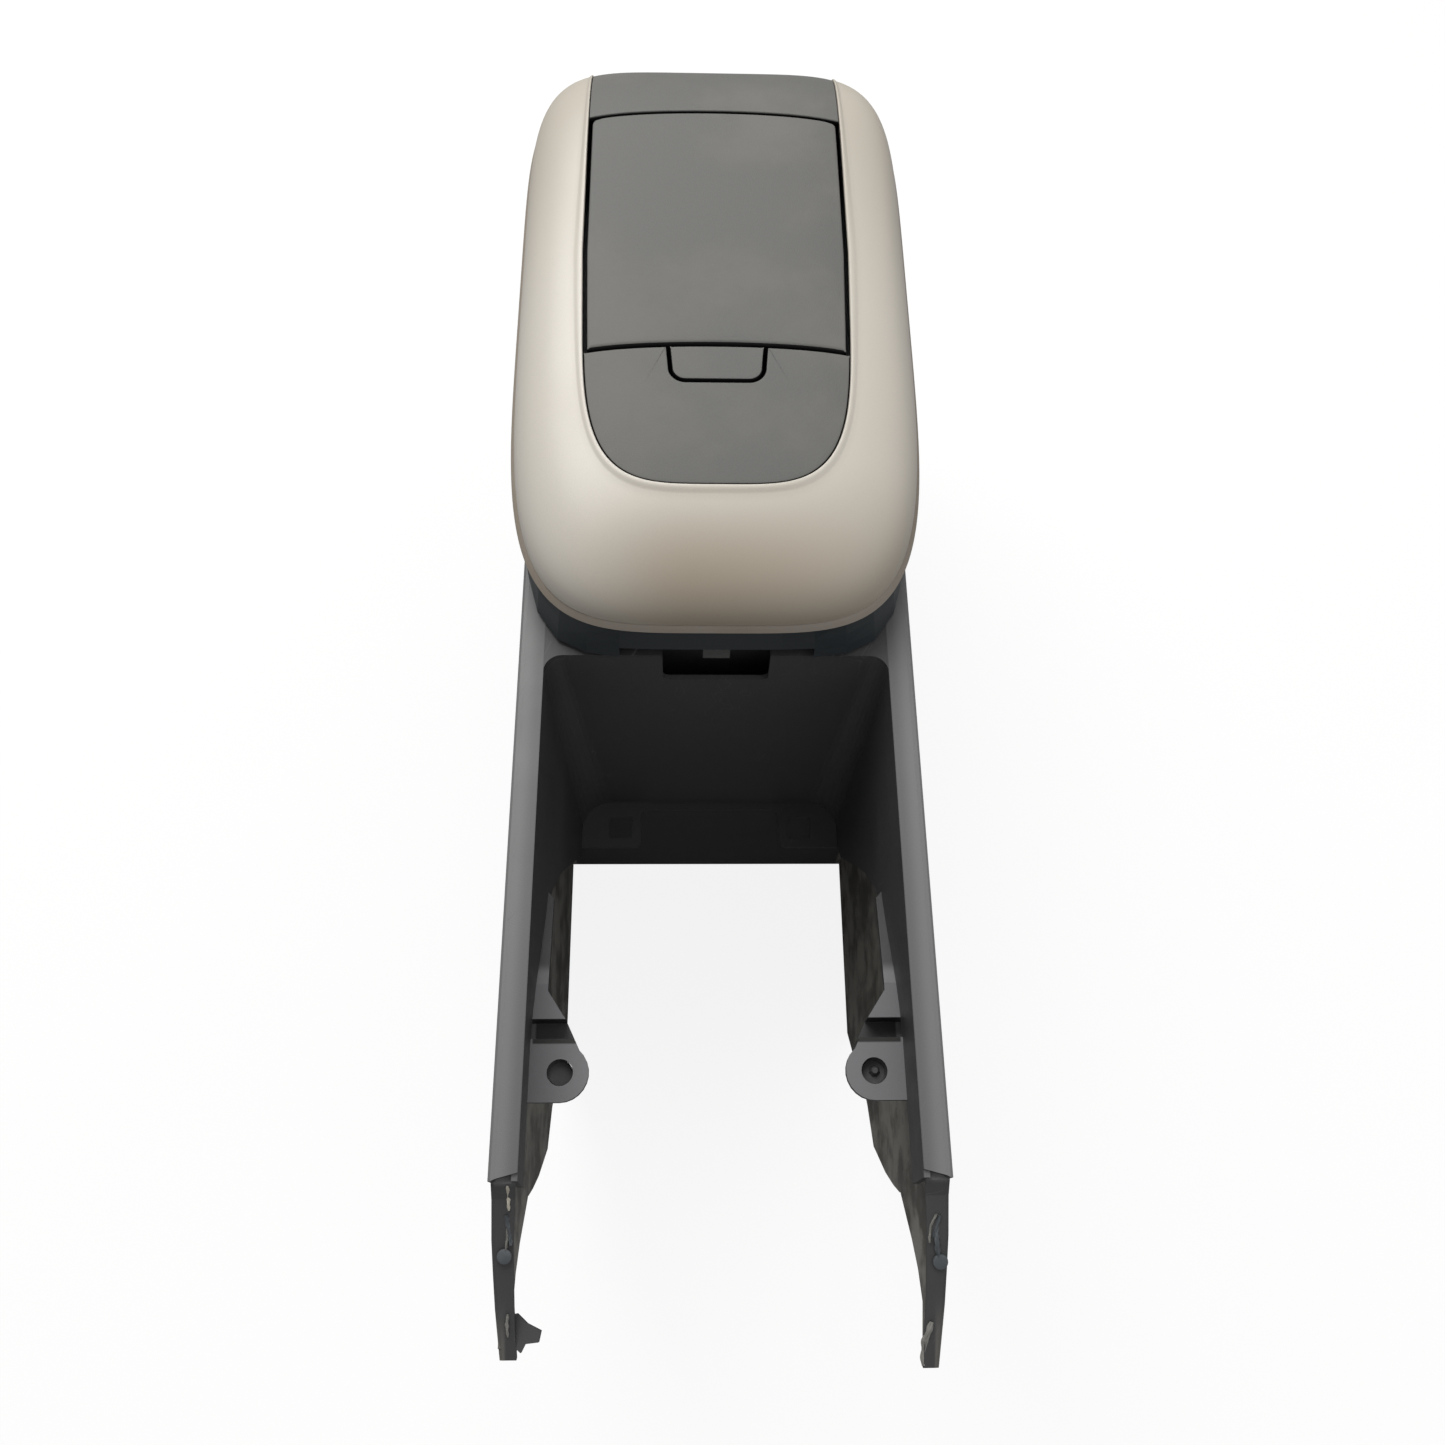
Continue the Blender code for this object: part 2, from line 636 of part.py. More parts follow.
def console_body():
    body = deck()
    body.name = "console_body"
    body.data.materials.append(CHARCOAL)
    for tool in (pocket_wall(), side_skin(1), side_skin(-1), ledge(), lower_wall(), side_shelf(1),
                 side_shelf(-1), bracket_tab(1), bracket_tab(-1), front_arm(1), front_arm(-1),
                 broken_hook()):
        boolean(body, tool, "UNION")
    slot_rear = POCKET_REAR_TOP + 0.0075
    slot = plate("latch_slot_cut", [rounded_box(-SLOT_HALF, FLANGE_HEIGHT - SLOT_DEPTH, SLOT_HALF,
                                                FLANGE_HEIGHT + 0.010, 0.003)],
                 POCKET_REAR_TOP - 0.012, slot_rear, "XZ")
    boolean(body, slot, "DIFFERENCE")
    drill(body, bracket_screw_places(), DECK_TOP - DECK_WALL / 2)
    return body


def rear_cover():
    """Plain end panel between the skins."""
    foot_half = HALF_WIDTH - SKIN_LEAN - SKIN_WALL - SEAT_GAP
    top_half = HALF_WIDTH - SKIN_WALL - SEAT_GAP - 0.0002
    top = DECK_TOP - DECK_WALL - SEAT_GAP
    outline = [(-foot_half, 0.0005), (foot_half, 0.0005), (top_half, top), (-top_half, top)]
    panel = plate("rear_cover", [outline], BODY_REAR - 0.0030, BODY_REAR - 0.0006, "XZ", material=CHARCOAL)
    for k, level in enumerate((REAR_RIB_LOW, REAR_RIB_HIGH)):
        rib = box("rear_rib_%d" % k, (-top_half + 0.010, BODY_REAR - 0.008, level),
                  (top_half - 0.010, BODY_REAR - 0.0020, level + 0.002))
        boolean(panel, rib, "UNION")
    return panel


def storage_bin():
    """Deep box that hangs in the deck by its rim."""
    rim_z = DECK_TOP + SEAT_GAP
    wall = BIN_WALL
    gap = RUN_GAP

    def ring(inset, z, corner):
        return [(x, y, z) for x, y in rounded_box(-BIN_HALF + inset, BIN_FRONT + inset,
                                                  BIN_HALF - inset, BIN_REAR - inset, corner)]

    rings = [ring(wall + BIN_DRAFT, BIN_FLOOR + wall, BIN_CORNER),
             ring(gap + wall, rim_z + 0.0018, BIN_CORNER),
             ring(-BIN_RIM, rim_z + 0.0018, BIN_CORNER + BIN_RIM),
             ring(-BIN_RIM, rim_z, BIN_CORNER + BIN_RIM),
             ring(gap, rim_z, BIN_CORNER), ring(BIN_DRAFT, BIN_FLOOR, BIN_CORNER)]
    return solid_of_rings("storage_bin", rings, material=CHARCOAL)


def screws(name, places, head_z, up, parent=CONSOLE):
    """Pan-head screws; up is +1 when their heads look up."""
    shank, head = SCREW_SHANK_RADIUS, SCREW_HEAD_RADIUS
    length, height = SCREW_SHANK_LENGTH, SCREW_HEAD_HEIGHT
    profile = [(0.0, 0.0), (shank * 0.7, 0.0), (shank, 0.0008), (shank, length), (head, length),
               (head, length + height * 0.5), (head * 0.72, length + height), (head * 0.36, length + height),
               (head * 0.22, length + height * 0.35), (0.0, length + height * 0.35)]
    for k, (x, y) in enumerate(places, 1):
        bm = bmesh.new()
        chain = [bm.verts.new((x + r, y, head_z + up * (h - length))) for r, h in profile]
        edges = [bm.edges.new(pair) for pair in zip(chain, chain[1:])]
        bmesh.ops.spin(bm, geom=chain + edges, cent=(x, y, 0), axis=(0, 0, 1), angle=math.tau, steps=10,
                       use_merge=True)
        bmesh.ops.remove_doubles(bm, verts=bm.verts, dist=1e-6)
        full_name = "%s_%d" % (name, k)
        add_object(full_name, mesh_from(bm, full_name), parent, STEEL)


# Lid

def dome_z(x, y, inset=0.0):
    """Height of the lid's crowned top over a point in plan."""
    rear = y > LID_CENTRE_Y
    length = LID_REAR_LENGTH if rear else LID_FRONT_LENGTH
    power = LID_REAR_POWER if rear else LID_FRONT_POWER
    along = abs(x) / (LID_HALF_WIDTH - inset)
    across = abs(y - LID_CENTRE_Y) / (length - inset)
    rho = (along ** power + across ** power) ** (1 / power)
    return CREASE_Z - inset + LID_RISE * math.sqrt(max(0.0, 1 - min(rho, 1.0) ** 5))


def opening_straight(y):
    """Half width of the opening before its front is rounded: it draws in towards the front."""
    return OPENING_HALF + OPENING_SPREAD * min(1.0, (y - OPENING_FRONT) / OPENING_SPREAD_RUN)


def opening_half(y):
    """Half width of the frame's opening at a place along the lid."""
    share = min(1.0, max(0.0, OPENING_FRONT + OPENING_ROUND - y) / OPENING_ROUND)
    return opening_straight(y) * (1 - share ** OPENING_POWER) ** (1 / OPENING_POWER)


def opening_front_path(gap, start, steps=18):
    """Rounded part of the opening's right edge, or of a line inside it, to the centre of its front."""
    centre = OPENING_FRONT + OPENING_ROUND
    depth = OPENING_ROUND - gap
    first = math.asin(min(1.0, max(0.0, centre - start) / depth) ** (OPENING_POWER / 2))
    path = []
    for k in range(steps + 1):
        angle = first + (math.pi / 2 - first) * (k / steps) ** 1.5
        y = centre - depth * math.sin(angle) ** (2 / OPENING_POWER)
        path.append(((opening_straight(y) - gap) * math.cos(angle) ** (2 / OPENING_POWER), y))
    return path


def opening_side(rear, steps=9, round_steps=18):
    """Right half of the opening's edge, from the rear to the centre of its front."""
    centre = OPENING_FRONT + OPENING_ROUND
    places = [rear + (centre - rear) * k / steps for k in range(steps)]
    return [(opening_half(y), y) for y in places] + opening_front_path(0.0, centre, round_steps)


def mirrored(side):
    """Outline from a right half that ends on the centre line."""
    return side + [(-x, y) for x, y in reversed(side[:-1])]


def opening_bead():
    """Raised bead with a turned-down inner wall along the opening, which fades at the lid's rear."""
    path = mirrored(opening_side(LID_CENTRE_Y + LID_REAR_LENGTH - 0.006, 10, 17))
    w, h = BEAD_WIDTH, BEAD_HEIGHT
    profile = ((-0.0010, -0.0050), (-0.0010, 0.3 * h), (0.0002, 0.85 * h), (0.3 * w, h), (0.55 * w, 0.8 * h),
               (0.8 * w, 0.35 * h), (w, -0.0003), (0.7 * w, -0.0013), (0.0018, -0.0013), (0.0018, -0.0050))
    sections = []
    last = len(path) - 1
    for k, (x, y) in enumerate(path):
        near, far = path[max(k - 1, 0)], path[min(k + 1, last)]
        run = Vector((far[0] - near[0], far[1] - near[1]))
        out = Vector((-run.y, run.x)).normalized()
        fade = min(1.0, min(k, last - k) / 2 + 0.1)
        section = []
        for d, lift in profile:
            px, py = x + out.x * d, y + out.y * d
            section.append((px, py, dome_z(px, py) + (lift * fade if lift > 0 else lift)))
        sections.append(section)
    return tube_of_sections("opening_bead", sections, LID_AXIS)


def dome_shell(name, parent=LID_AXIS, material=None, sink=INSERT_SINK, lip=False):
    """Crowned sheet of the lid, from which the frame and the grey inserts are cut."""
    wall = LID_WALL
    shares = [0.12, 0.36, 0.56, 0.70, 0.80, 0.87, 0.92, 0.96, 0.985, 1.0]
    angles = [2 * math.pi * k / RING_STEPS for k in range(RING_STEPS)]

    def ring(share, inset):
        points = []
        for angle in angles:
            x, y = superellipse(angle, -inset, -inset)
            x, y = x * share, LID_CENTRE_Y + (y - LID_CENTRE_Y) * share
            points.append((x, y, dome_z(x, y, inset) - sink))
        return points

    def flat_ring(inset, z):
        return [(*superellipse(a, -inset, -inset), z) for a in angles]

    rings = [ring(share, 0.0) for share in shares]
    if lip:
        rings += [flat_ring(-LID_LIP_FLARE, LIP_Z), flat_ring(wall - 0.0008, LIP_Z)]
    else:
        rings += [flat_ring(0.0, LIP_Z + 0.001), flat_ring(wall, LIP_Z + 0.001)]
    rings += [ring(share, wall) for share in reversed(shares)]
    return solid_of_rings(name, rings, parent, material)


def lid_frame():
    """Painted frame: a crowned sheet with a long opening that runs out over its rear edge."""
    frame = dome_shell("lid_frame", LID_AXIS, BEIGE, 0.0, True)
    boolean(frame, opening_bead(), "UNION")
    side = opening_side(LID_REAR + 0.010)
    opening = plate("frame_opening", [mirrored(side)], LIP_Z - 0.010, CREASE_Z + CUT_ABOVE, parent=LID_AXIS)
    boolean(frame, opening, "DIFFERENCE")
    low = SHELL_FLOOR_TOP + SEAT_GAP
    for k, (x, y) in enumerate(shell_screw_places()):
        reach = BOSS_RADIUS * 0.75
        far_y = y + math.copysign(reach, y - LID_CENTRE_Y)
        high = dome_z(abs(x) + reach, far_y) - 0.0009
        boss = cylinder("frame_boss_%d" % k, (x, y, (low + high) / 2), BOSS_RADIUS, high - low, "Z",
                        LID_AXIS, segments=16)
        boolean(frame, boss, "UNION")
    drill(frame, shell_screw_places(), low, LID_AXIS, depth=0.024)
    return frame


def bowed(x, y, bow):
    """Edges across the lid bow towards its rear at the centre."""
    return y - bow * (x / OPENING_HALF) ** 2


def cross_line(y, half, bow, steps=10):
    """Bowed edge from the right to the left."""
    places = [half - 2 * half * k / steps for k in range(steps + 1)]
    return [(x, bowed(x, y, bow)) for x in places]


def door_outline():
    front_half = opening_half(DOOR_FRONT) - DOOR_SIDE_GAP
    rear_half = opening_half(DOOR_REAR) - DOOR_SIDE_GAP
    r = 0.003
    front = list(reversed(cross_line(DOOR_FRONT, front_half, DOOR_FRONT_BOW)))
    rear_y = bowed(rear_half, DOOR_REAR, DOOR_REAR_BOW)
    round_end = OPENING_FRONT + OPENING_ROUND
    places = [DOOR_FRONT + (round_end - DOOR_FRONT) * k / 3 for k in range(1, 4)]
    side = [(opening_half(y) - DOOR_SIDE_GAP, y) for y in (*places, OPENING_FRONT + OPENING_SPREAD_RUN)]
    side += arc(rear_half - r, rear_y - r, r, 0, 90, 4)
    middle = cross_line(DOOR_REAR, rear_half - r - 0.004, DOOR_REAR_BOW, 8)
    return front + side + middle + [(-x, y) for x, y in reversed(side)]


def button_outline(grow=0.0):
    """Outline of the button, or of its opening when it grows."""
    rear = DOOR_FRONT - FRONT_GAP
    half = BUTTON_HALF + grow
    front = rear - BUTTON_LENGTH - grow
    r = BUTTON_CORNER + grow
    low = arc(half - r, front + r, r, -90, 0, 5)
    taper = half + 0.0010
    back = 0.004 if grow else 0.0
    right = low + [(taper, bowed(taper, rear, DOOR_FRONT_BOW) + back),
                   (taper / 2, bowed(taper / 2, rear, DOOR_FRONT_BOW) + back)]
    return right + [(-x, y) for x, y in reversed(right)]


def panel_outline():
    rear = DOOR_FRONT - FRONT_GAP
    half = opening_half(rear) - PANEL_GAP
    rear_line = cross_line(rear, half, DOOR_FRONT_BOW)
    start = bowed(half, rear, DOOR_FRONT_BOW) - 0.002
    bottom = [(-x, y) for x, y in opening_front_path(PANEL_GAP, start)]
    return rear_line + bottom + [(-x, y) for x, y in reversed(bottom[:-1])]


def cut_insert(name, outlines, parent=LID_AXIS):
    made = dome_shell(name, parent, GREY_TRIM)
    prism = plate(name + "_outline", outlines, CREASE_Z - CUT_BELOW, CREASE_Z + CUT_ABOVE)
    boolean(made, prism, "INTERSECT")
    return made


def tray_door():
    """Grey flap with a turned-down front lip, and a rear edge that clears the strip when it opens."""
    door = cut_insert("tray_door", [door_outline()], DOOR_AXIS)
    half = opening_half(DOOR_FRONT) - DOOR_SIDE_GAP - 0.0004
    front = cross_line(DOOR_FRONT + 0.0002, half, DOOR_FRONT_BOW)
    back = list(reversed(cross_line(DOOR_FRONT + DOOR_LIP, half, DOOR_FRONT_BOW)))
    top = dome_z(0, DOOR_FRONT) - INSERT_SINK - 0.0021
    lip = plate("door_front_lip", [front + back], top - DOOR_LIP_DROP, top, parent=DOOR_AXIS)
    boolean(door, lip, "UNION")
    edge, size = dome_z(0, DOOR_REAR) - INSERT_SINK, DOOR_REAR_BEVEL
    trim = plate("door_rear_trim", [[(DOOR_REAR + 0.0002, edge - size), (DOOR_REAR + 0.003, edge - size),
                                     (DOOR_REAR + 0.003, edge + 0.003), (DOOR_REAR - size * 2, edge + 0.003),
                                     (DOOR_REAR - size * 1.2, edge + size * 0.4)]],
                 -OPENING_HALF - 0.006, OPENING_HALF + 0.006, "YZ", DOOR_AXIS)
    boolean(door, trim, "DIFFERENCE")
    return door


def rear_strip():
    """Grey strip behind the door, which follows the crown over the lid's rear edge."""
    line = DOOR_REAR + REAR_GAP
    front_half = opening_half(line) - PANEL_GAP
    rear_half = opening_half(LID_REAR) - PANEL_GAP
    outline = cross_line(line, front_half, DOOR_REAR_BOW)
    outline += [(-rear_half, LID_REAR + 0.01), (rear_half, LID_REAR + 0.01)]
    return cut_insert("rear_strip", [outline])


def front_panel():
    """Fixed grey panel ahead of the door, with the button's opening and the seat of its spring."""
    panel = cut_insert("front_panel", [panel_outline()])
    recess = plate("button_recess", [button_outline(BUTTON_GAP)], CREASE_Z - CUT_BELOW, CREASE_Z + CUT_ABOVE)
    boolean(panel, recess, "DIFFERENCE")
    rear = DOOR_FRONT - FRONT_GAP - DOOR_FRONT_BOW
    front = rear - BUTTON_LENGTH + 0.0035
    half = BUTTON_HALF + BUTTON_GAP + 0.0030
    seat_z = button_top() - 0.0160
    head_z = button_top() - 0.0015
    outer = half + 0.002
    outline = [(-outer, head_z), (-outer, seat_z - 0.002), (outer, seat_z - 0.002), (outer, head_z),
               (half, head_z), (half, seat_z), (-half, seat_z), (-half, head_z)]
    bridge = plate("button_bridge", [outline], front, rear - 0.0005, "XZ", LID_AXIS)
    boolean(panel, bridge, "UNION")
    bore = cylinder("button_guide_bore", (0, button_y(), seat_z - 0.001), 0.0024, 0.012, "Z", LID_AXIS)
    boolean(panel, bore, "DIFFERENCE")
    return panel


def button_y():
    return DOOR_FRONT - FRONT_GAP - BUTTON_LENGTH / 2 + 0.0004


def button_top():
    return dome_z(0, button_y()) - INSERT_SINK


def door_button():
    """Sprung release button with its guide stem."""
    button = cut_insert("door_button", [button_outline()], BUTTON_GUIDE)
    top = button_top() - LID_WALL + 0.0004
    low = button_top() - 0.0205
    stem = cylinder("button_stem", (0, button_y(), (top + low) / 2), 0.0020, top - low, "Z", BUTTON_GUIDE)
    boolean(button, stem, "UNION")
    length = 0.0160 - LID_WALL - 2 * SEAT_GAP - 0.0010
    middle = button_top() - 0.0160 + SEAT_GAP + 0.0005 + length / 2
    coil("button_spring", (0, button_y(), middle), 0.0032, 0.0004, length, 6, "Z", LID_AXIS)
    return button


def door_hinge():
    """Inner panel of the door with its two knuckles, and the pin."""
    low, high = DOOR_AXIS_Z - 0.0029, DOOR_AXIS_Z - 0.0006
    rear = DOOR_AXIS_Y - 0.0075
    edge = rounded_box(-TRAY_HALF - 0.0015, DOOR_FRONT + 0.0075, TRAY_HALF + 0.0015, rear, 0.006)
    panel = plate("door_inner_panel", [edge], low, high, parent=DOOR_AXIS, material=SHELL_DARK)
    under = dome_z(0.040, DOOR_FRONT + 0.030) - INSERT_SINK - LID_WALL - SEAT_GAP - 0.0008
    for k, (x, y) in enumerate(((0.036, 0.372), (-0.036, 0.372), (0.036, 0.450), (-0.036, 0.450))):
        boolean(panel, cylinder("door_post_%d" % k, (x, y, (high - 0.001 + under) / 2), 0.0030,
                                under - high + 0.001, "Z", DOOR_AXIS, segments=16), "UNION")
    for k, start in enumerate((0.0082, -0.0082 - 0.0092)):
        r = DOOR_KNUCKLE_RADIUS
        outline = [(rear - 0.002, low + 0.0002), (DOOR_AXIS_Y - 0.001, DOOR_AXIS_Z - r * 0.8),
                   (DOOR_AXIS_Y, DOOR_AXIS_Z + r * 0.7), (rear - 0.002, high - 0.0001)]
        arm = plate("door_arm_%d" % k, [outline], start, start + 0.0092, "YZ", DOOR_AXIS)
        boolean(panel, arm, "UNION")
        eye = knuckle("door_knuckle_%d" % k, start, DOOR_AXIS, DOOR_AXIS_Y, DOOR_AXIS_Z, r, 0.0092)
        boolean(panel, eye, "UNION")
    axis = (0, DOOR_AXIS_Y, DOOR_AXIS_Z)
    bore = cylinder("door_bore", axis, DOOR_PIN_RADIUS + 0.0002, 0.060, "X", DOOR_AXIS)
    boolean(panel, bore, "DIFFERENCE")
    cylinder("door_hinge_pin", axis, DOOR_PIN_RADIUS, 0.0540, "X", LID_AXIS, STEEL, 16)
    return panel


def shell_ring(share, inset, z):
    """Ring of the lower shell: share 0 at its top, 1 at its foot."""
    tuck = SHELL_TOP_TUCK + (SHELL_FOOT_TUCK - SHELL_TOP_TUCK) * share + inset
    run = SHELL_TOP_RUN + (SHELL_FOOT_RUN - SHELL_TOP_RUN) * share - inset
    points = []
    for k in range(RING_STEPS):
        angle = 2 * math.pi * k / RING_STEPS
        own = LID_REAR_POWER if math.sin(angle) > 0 else LID_FRONT_POWER
        points.append((*superellipse(angle, -tuck, run, own + (SHELL_FOOT_POWER - own) * share), z))
    return points


def lid_lower_shell():
    foot, top = SHELL_FOOT_Z, SHELL_TOP_Z
    floor_low, floor_top = SHELL_FLOOR_Z, SHELL_FLOOR_TOP
    wall = SHELL_WALL

    def height(share):
        return top + (foot - top) * share

    floor_share = (top - floor_top) / (top - foot)
    rings = [shell_ring(1.0, 0.060, floor_low), shell_ring(1.0, wall + 0.0014, floor_low),
             shell_ring(1.0, wall + 0.0012, foot), shell_ring(1.0, 0.0007, foot),
             shell_ring(0.95, 0.0, height(0.95)), shell_ring(0.7, 0.0, height(0.7)),
             shell_ring(0.35, 0.0, height(0.35)), shell_ring(0.0, 0.0, top), shell_ring(0.0, wall, top),
             shell_ring(floor_share, wall, floor_top), shell_ring(1.0, 0.060, floor_top)]
    shell = solid_of_rings("lid_lower_shell", rings, LID_AXIS, SHELL_DARK)
    front = SHELL_FRONT
    half = hinge_half() + 0.0022
    hinge_cut = box("hinge_clearance", (-half, HINGE_Y - 0.0065, foot - 0.005),
                    (half, HINGE_Y + 0.010, HINGE_Z + KNUCKLE_RADIUS + 0.0008))
    notch = box("shell_notch", (-SHELL_NOTCH_HALF, front - 0.010, foot - 0.005),
                (SHELL_NOTCH_HALF, front + wall + 0.0018, FLANGE_HEIGHT + SHELL_NOTCH_TOP))
    tongue_hole = box("tongue_hole", (-TONGUE_HALF - 0.002, front + wall + 0.0008, foot - 0.006),
                      (TONGUE_HALF + 0.002, LATCH_AXIS_Y + 0.003, floor_top + 0.002))
    for side in (1, -1):
        start = TONGUE_HALF + 0.0040 if side > 0 else -TONGUE_HALF - 0.0065
        lug = [(LATCH_AXIS_Y - 0.006, floor_top - 0.001), (LATCH_AXIS_Y + 0.006, floor_top - 0.001),
               *arc(LATCH_AXIS_Y, LATCH_AXIS_Z, 0.0035, 0, 180, 8)]
        boolean(shell, plate("latch_lug_%d" % side, [lug], start, start + 0.0025, "YZ", LID_AXIS), "UNION")
    for tool in (hinge_cut, notch, tongue_hole):
        boolean(shell, tool, "DIFFERENCE")
    boolean(shell, cylinder("latch_lug_bore", (0, LATCH_AXIS_Y, LATCH_AXIS_Z), 0.0018, 0.040, "X", LID_AXIS),
            "DIFFERENCE")
    drill(shell, shell_screw_places() + leaf_screw_places(), (floor_low + floor_top) / 2, LID_AXIS)
    return shell


def shell_screw_places():
    ends = (LID_CENTRE_Y - LID_FRONT_LENGTH + 0.042, LID_CENTRE_Y + LID_REAR_LENGTH - 0.042)
    return [(side * (LID_HALF_WIDTH - 0.0241), y) for side in (1, -1) for y in ends]


def leaf_screw_places():
    return [(0.022, HINGE_Y - 0.0195), (-0.022, HINGE_Y - 0.0195)]


def bracket_screw_places():
    return [(0.022, BIN_REAR + BIN_RIM + 0.0044), (-0.022, BIN_REAR + BIN_RIM + 0.0044)]


def drill(target, places, z, parent=CONSOLE, radius=SCREW_SHANK_RADIUS + 0.0003, depth=0.008):
    for k, (x, y) in enumerate(places):
        bore = cylinder("%s_hole_%d" % (target.name, k), (x, y, z), radius, depth, "Z", parent, segments=10)
        boolean(target, bore, "DIFFERENCE")


def lid_tray():
    """Shallow tray under the door, standing on the lower shell's floor."""
    floor = SHELL_FLOOR_TOP + SEAT_GAP
    wall = TRAY_WALL

    def ring(inset, z, corner):
        return [(x, y, z) for x, y in rounded_box(-TRAY_HALF + inset, TRAY_FRONT + inset,
                                                  TRAY_HALF - inset, TRAY_REAR - inset, corner)]

    c = TRAY_CORNER
    rings = [ring(wall + 0.002, floor + wall, c), ring(wall, TRAY_TOP_Z, c),
             ring(-TRAY_RIM, TRAY_TOP_Z, c + TRAY_RIM), ring(-TRAY_RIM, TRAY_TOP_Z - 0.0016, c + TRAY_RIM),
             ring(0.0, TRAY_TOP_Z - 0.0016, c), ring(0.002, floor, c)]
    tray = solid_of_rings("lid_tray", rings, LID_AXIS, SHELL_DARK)
    foot = TRAY_TOP_Z - 0.0012
    r = DOOR_KNUCKLE_RADIUS
    for k, start in enumerate((0.0180, -0.0180 - 0.0080)):
        outline = [(TRAY_REAR - 0.0008, foot), (TRAY_REAR + TRAY_RIM - 0.0002, foot),
                   *arc(DOOR_AXIS_Y, DOOR_AXIS_Z, r, -20, 160, 10)]
        ear = plate("tray_ear_%d" % k, [outline], start, start + 0.008, "YZ", LID_AXIS)
        boolean(tray, ear, "UNION")
    bore = cylinder("tray_ear_bore", (0, DOOR_AXIS_Y, DOOR_AXIS_Z), DOOR_PIN_RADIUS + 0.0002, 0.070, "X",
                    LID_AXIS)
    boolean(tray, bore, "DIFFERENCE")
    return tray


# Hinge of the lid

def hinge_half():
    return KNUCKLE_LENGTH * 2 + RUN_GAP * 2


def knuckle(name, low_x, parent, y=None, z=None, radius=KNUCKLE_RADIUS, length=KNUCKLE_LENGTH):
    y = HINGE_Y if y is None else y
    z = HINGE_Z if z is None else z
    return cylinder(name, (low_x + length / 2, y, z), radius, length, "X", parent)


def hinge_part(name, plate_low, plate_high, y_front, starts, parent):
    """Flat steel plate with rolled knuckles on the hinge line."""
    half = hinge_half()
    bore = cylinder(name + "_bore", (0, HINGE_Y, HINGE_Z), HINGE_PIN_RADIUS + 0.0003, half * 2 + 0.01,
                    "X", parent)
    edge = HINGE_Y - KNUCKLE_RADIUS
    made = box(name, (-half, y_front, plate_low), (half, edge - 0.0006, plate_high), parent, STEEL)
    for k, low in enumerate(starts):
        arm = box("%s_arm_%d" % (name, k), (low, edge - 0.003, plate_low + 0.0001),
                  (low + KNUCKLE_LENGTH, HINGE_Y - 0.0010, plate_high - 0.0001), parent)
        boolean(made, arm, "UNION")
        boolean(made, knuckle("%s_knuckle_%d" % (name, k), low, parent), "UNION")
    boolean(made, bore, "DIFFERENCE")
    return made


def lid_hinge():
    length, gap = KNUCKLE_LENGTH, RUN_GAP
    outer = [-2 * length - 2 * gap + 0.0002, length + gap + 0.0002]
    inner = [-length - gap / 2, gap / 2]
    bracket_low = DECK_TOP + SEAT_GAP
    bracket = hinge_part("hinge_bracket", bracket_low, bracket_low + HINGE_PLATE,
                         BIN_REAR + BIN_RIM + 0.0006, outer, CONSOLE)
    drill(bracket, bracket_screw_places(), bracket_low)
    screws("hinge_bracket_screw", bracket_screw_places(), bracket_low + HINGE_PLATE + SEAT_GAP, 1)
    leaf_high = SHELL_FLOOR_Z - SEAT_GAP
    leaf_low = leaf_high - HINGE_PLATE
    leaf = box("hinge_leaf", (-hinge_half(), HINGE_Y - 0.0285, leaf_low),
               (hinge_half(), HINGE_Y - 0.0072, leaf_high),
               LID_AXIS, STEEL)
    riser_back = HINGE_Y - 0.0050
    for k, low in enumerate(inner):
        outline = [(HINGE_Y - 0.0090, leaf_high - 0.0001), (HINGE_Y - 0.0090, leaf_low + 0.0001),
                   (HINGE_Y - 0.0030, HINGE_Z - 0.0010), (HINGE_Y - 0.0005, HINGE_Z - 0.0010),
                   (HINGE_Y - 0.0005, HINGE_Z + 0.0016), (riser_back, HINGE_Z + 0.0022)]
        web = plate("hinge_leaf_web_%d" % k, [outline], low, low + length, "YZ", LID_AXIS)
        boolean(leaf, web, "UNION")
        boolean(leaf, knuckle("hinge_leaf_knuckle_%d" % k, low, LID_AXIS), "UNION")
    bore = cylinder("hinge_leaf_bore", (0, HINGE_Y, HINGE_Z), HINGE_PIN_RADIUS + 0.0003,
                    hinge_half() * 2, "X", LID_AXIS)
    boolean(leaf, bore, "DIFFERENCE")
    drill(leaf, leaf_screw_places(), leaf_low, LID_AXIS)
    screws("hinge_leaf_screw", leaf_screw_places(), leaf_low - SEAT_GAP, -1, LID_AXIS)
    screws("lid_shell_screw", shell_screw_places(), SHELL_FLOOR_Z - SEAT_GAP, -1, LID_AXIS)
    cylinder("hinge_pin", (0, HINGE_Y, HINGE_Z), HINGE_PIN_RADIUS, hinge_half() * 2 + 0.002, "X", CONSOLE,
             STEEL, 16)


# Latch of the lid

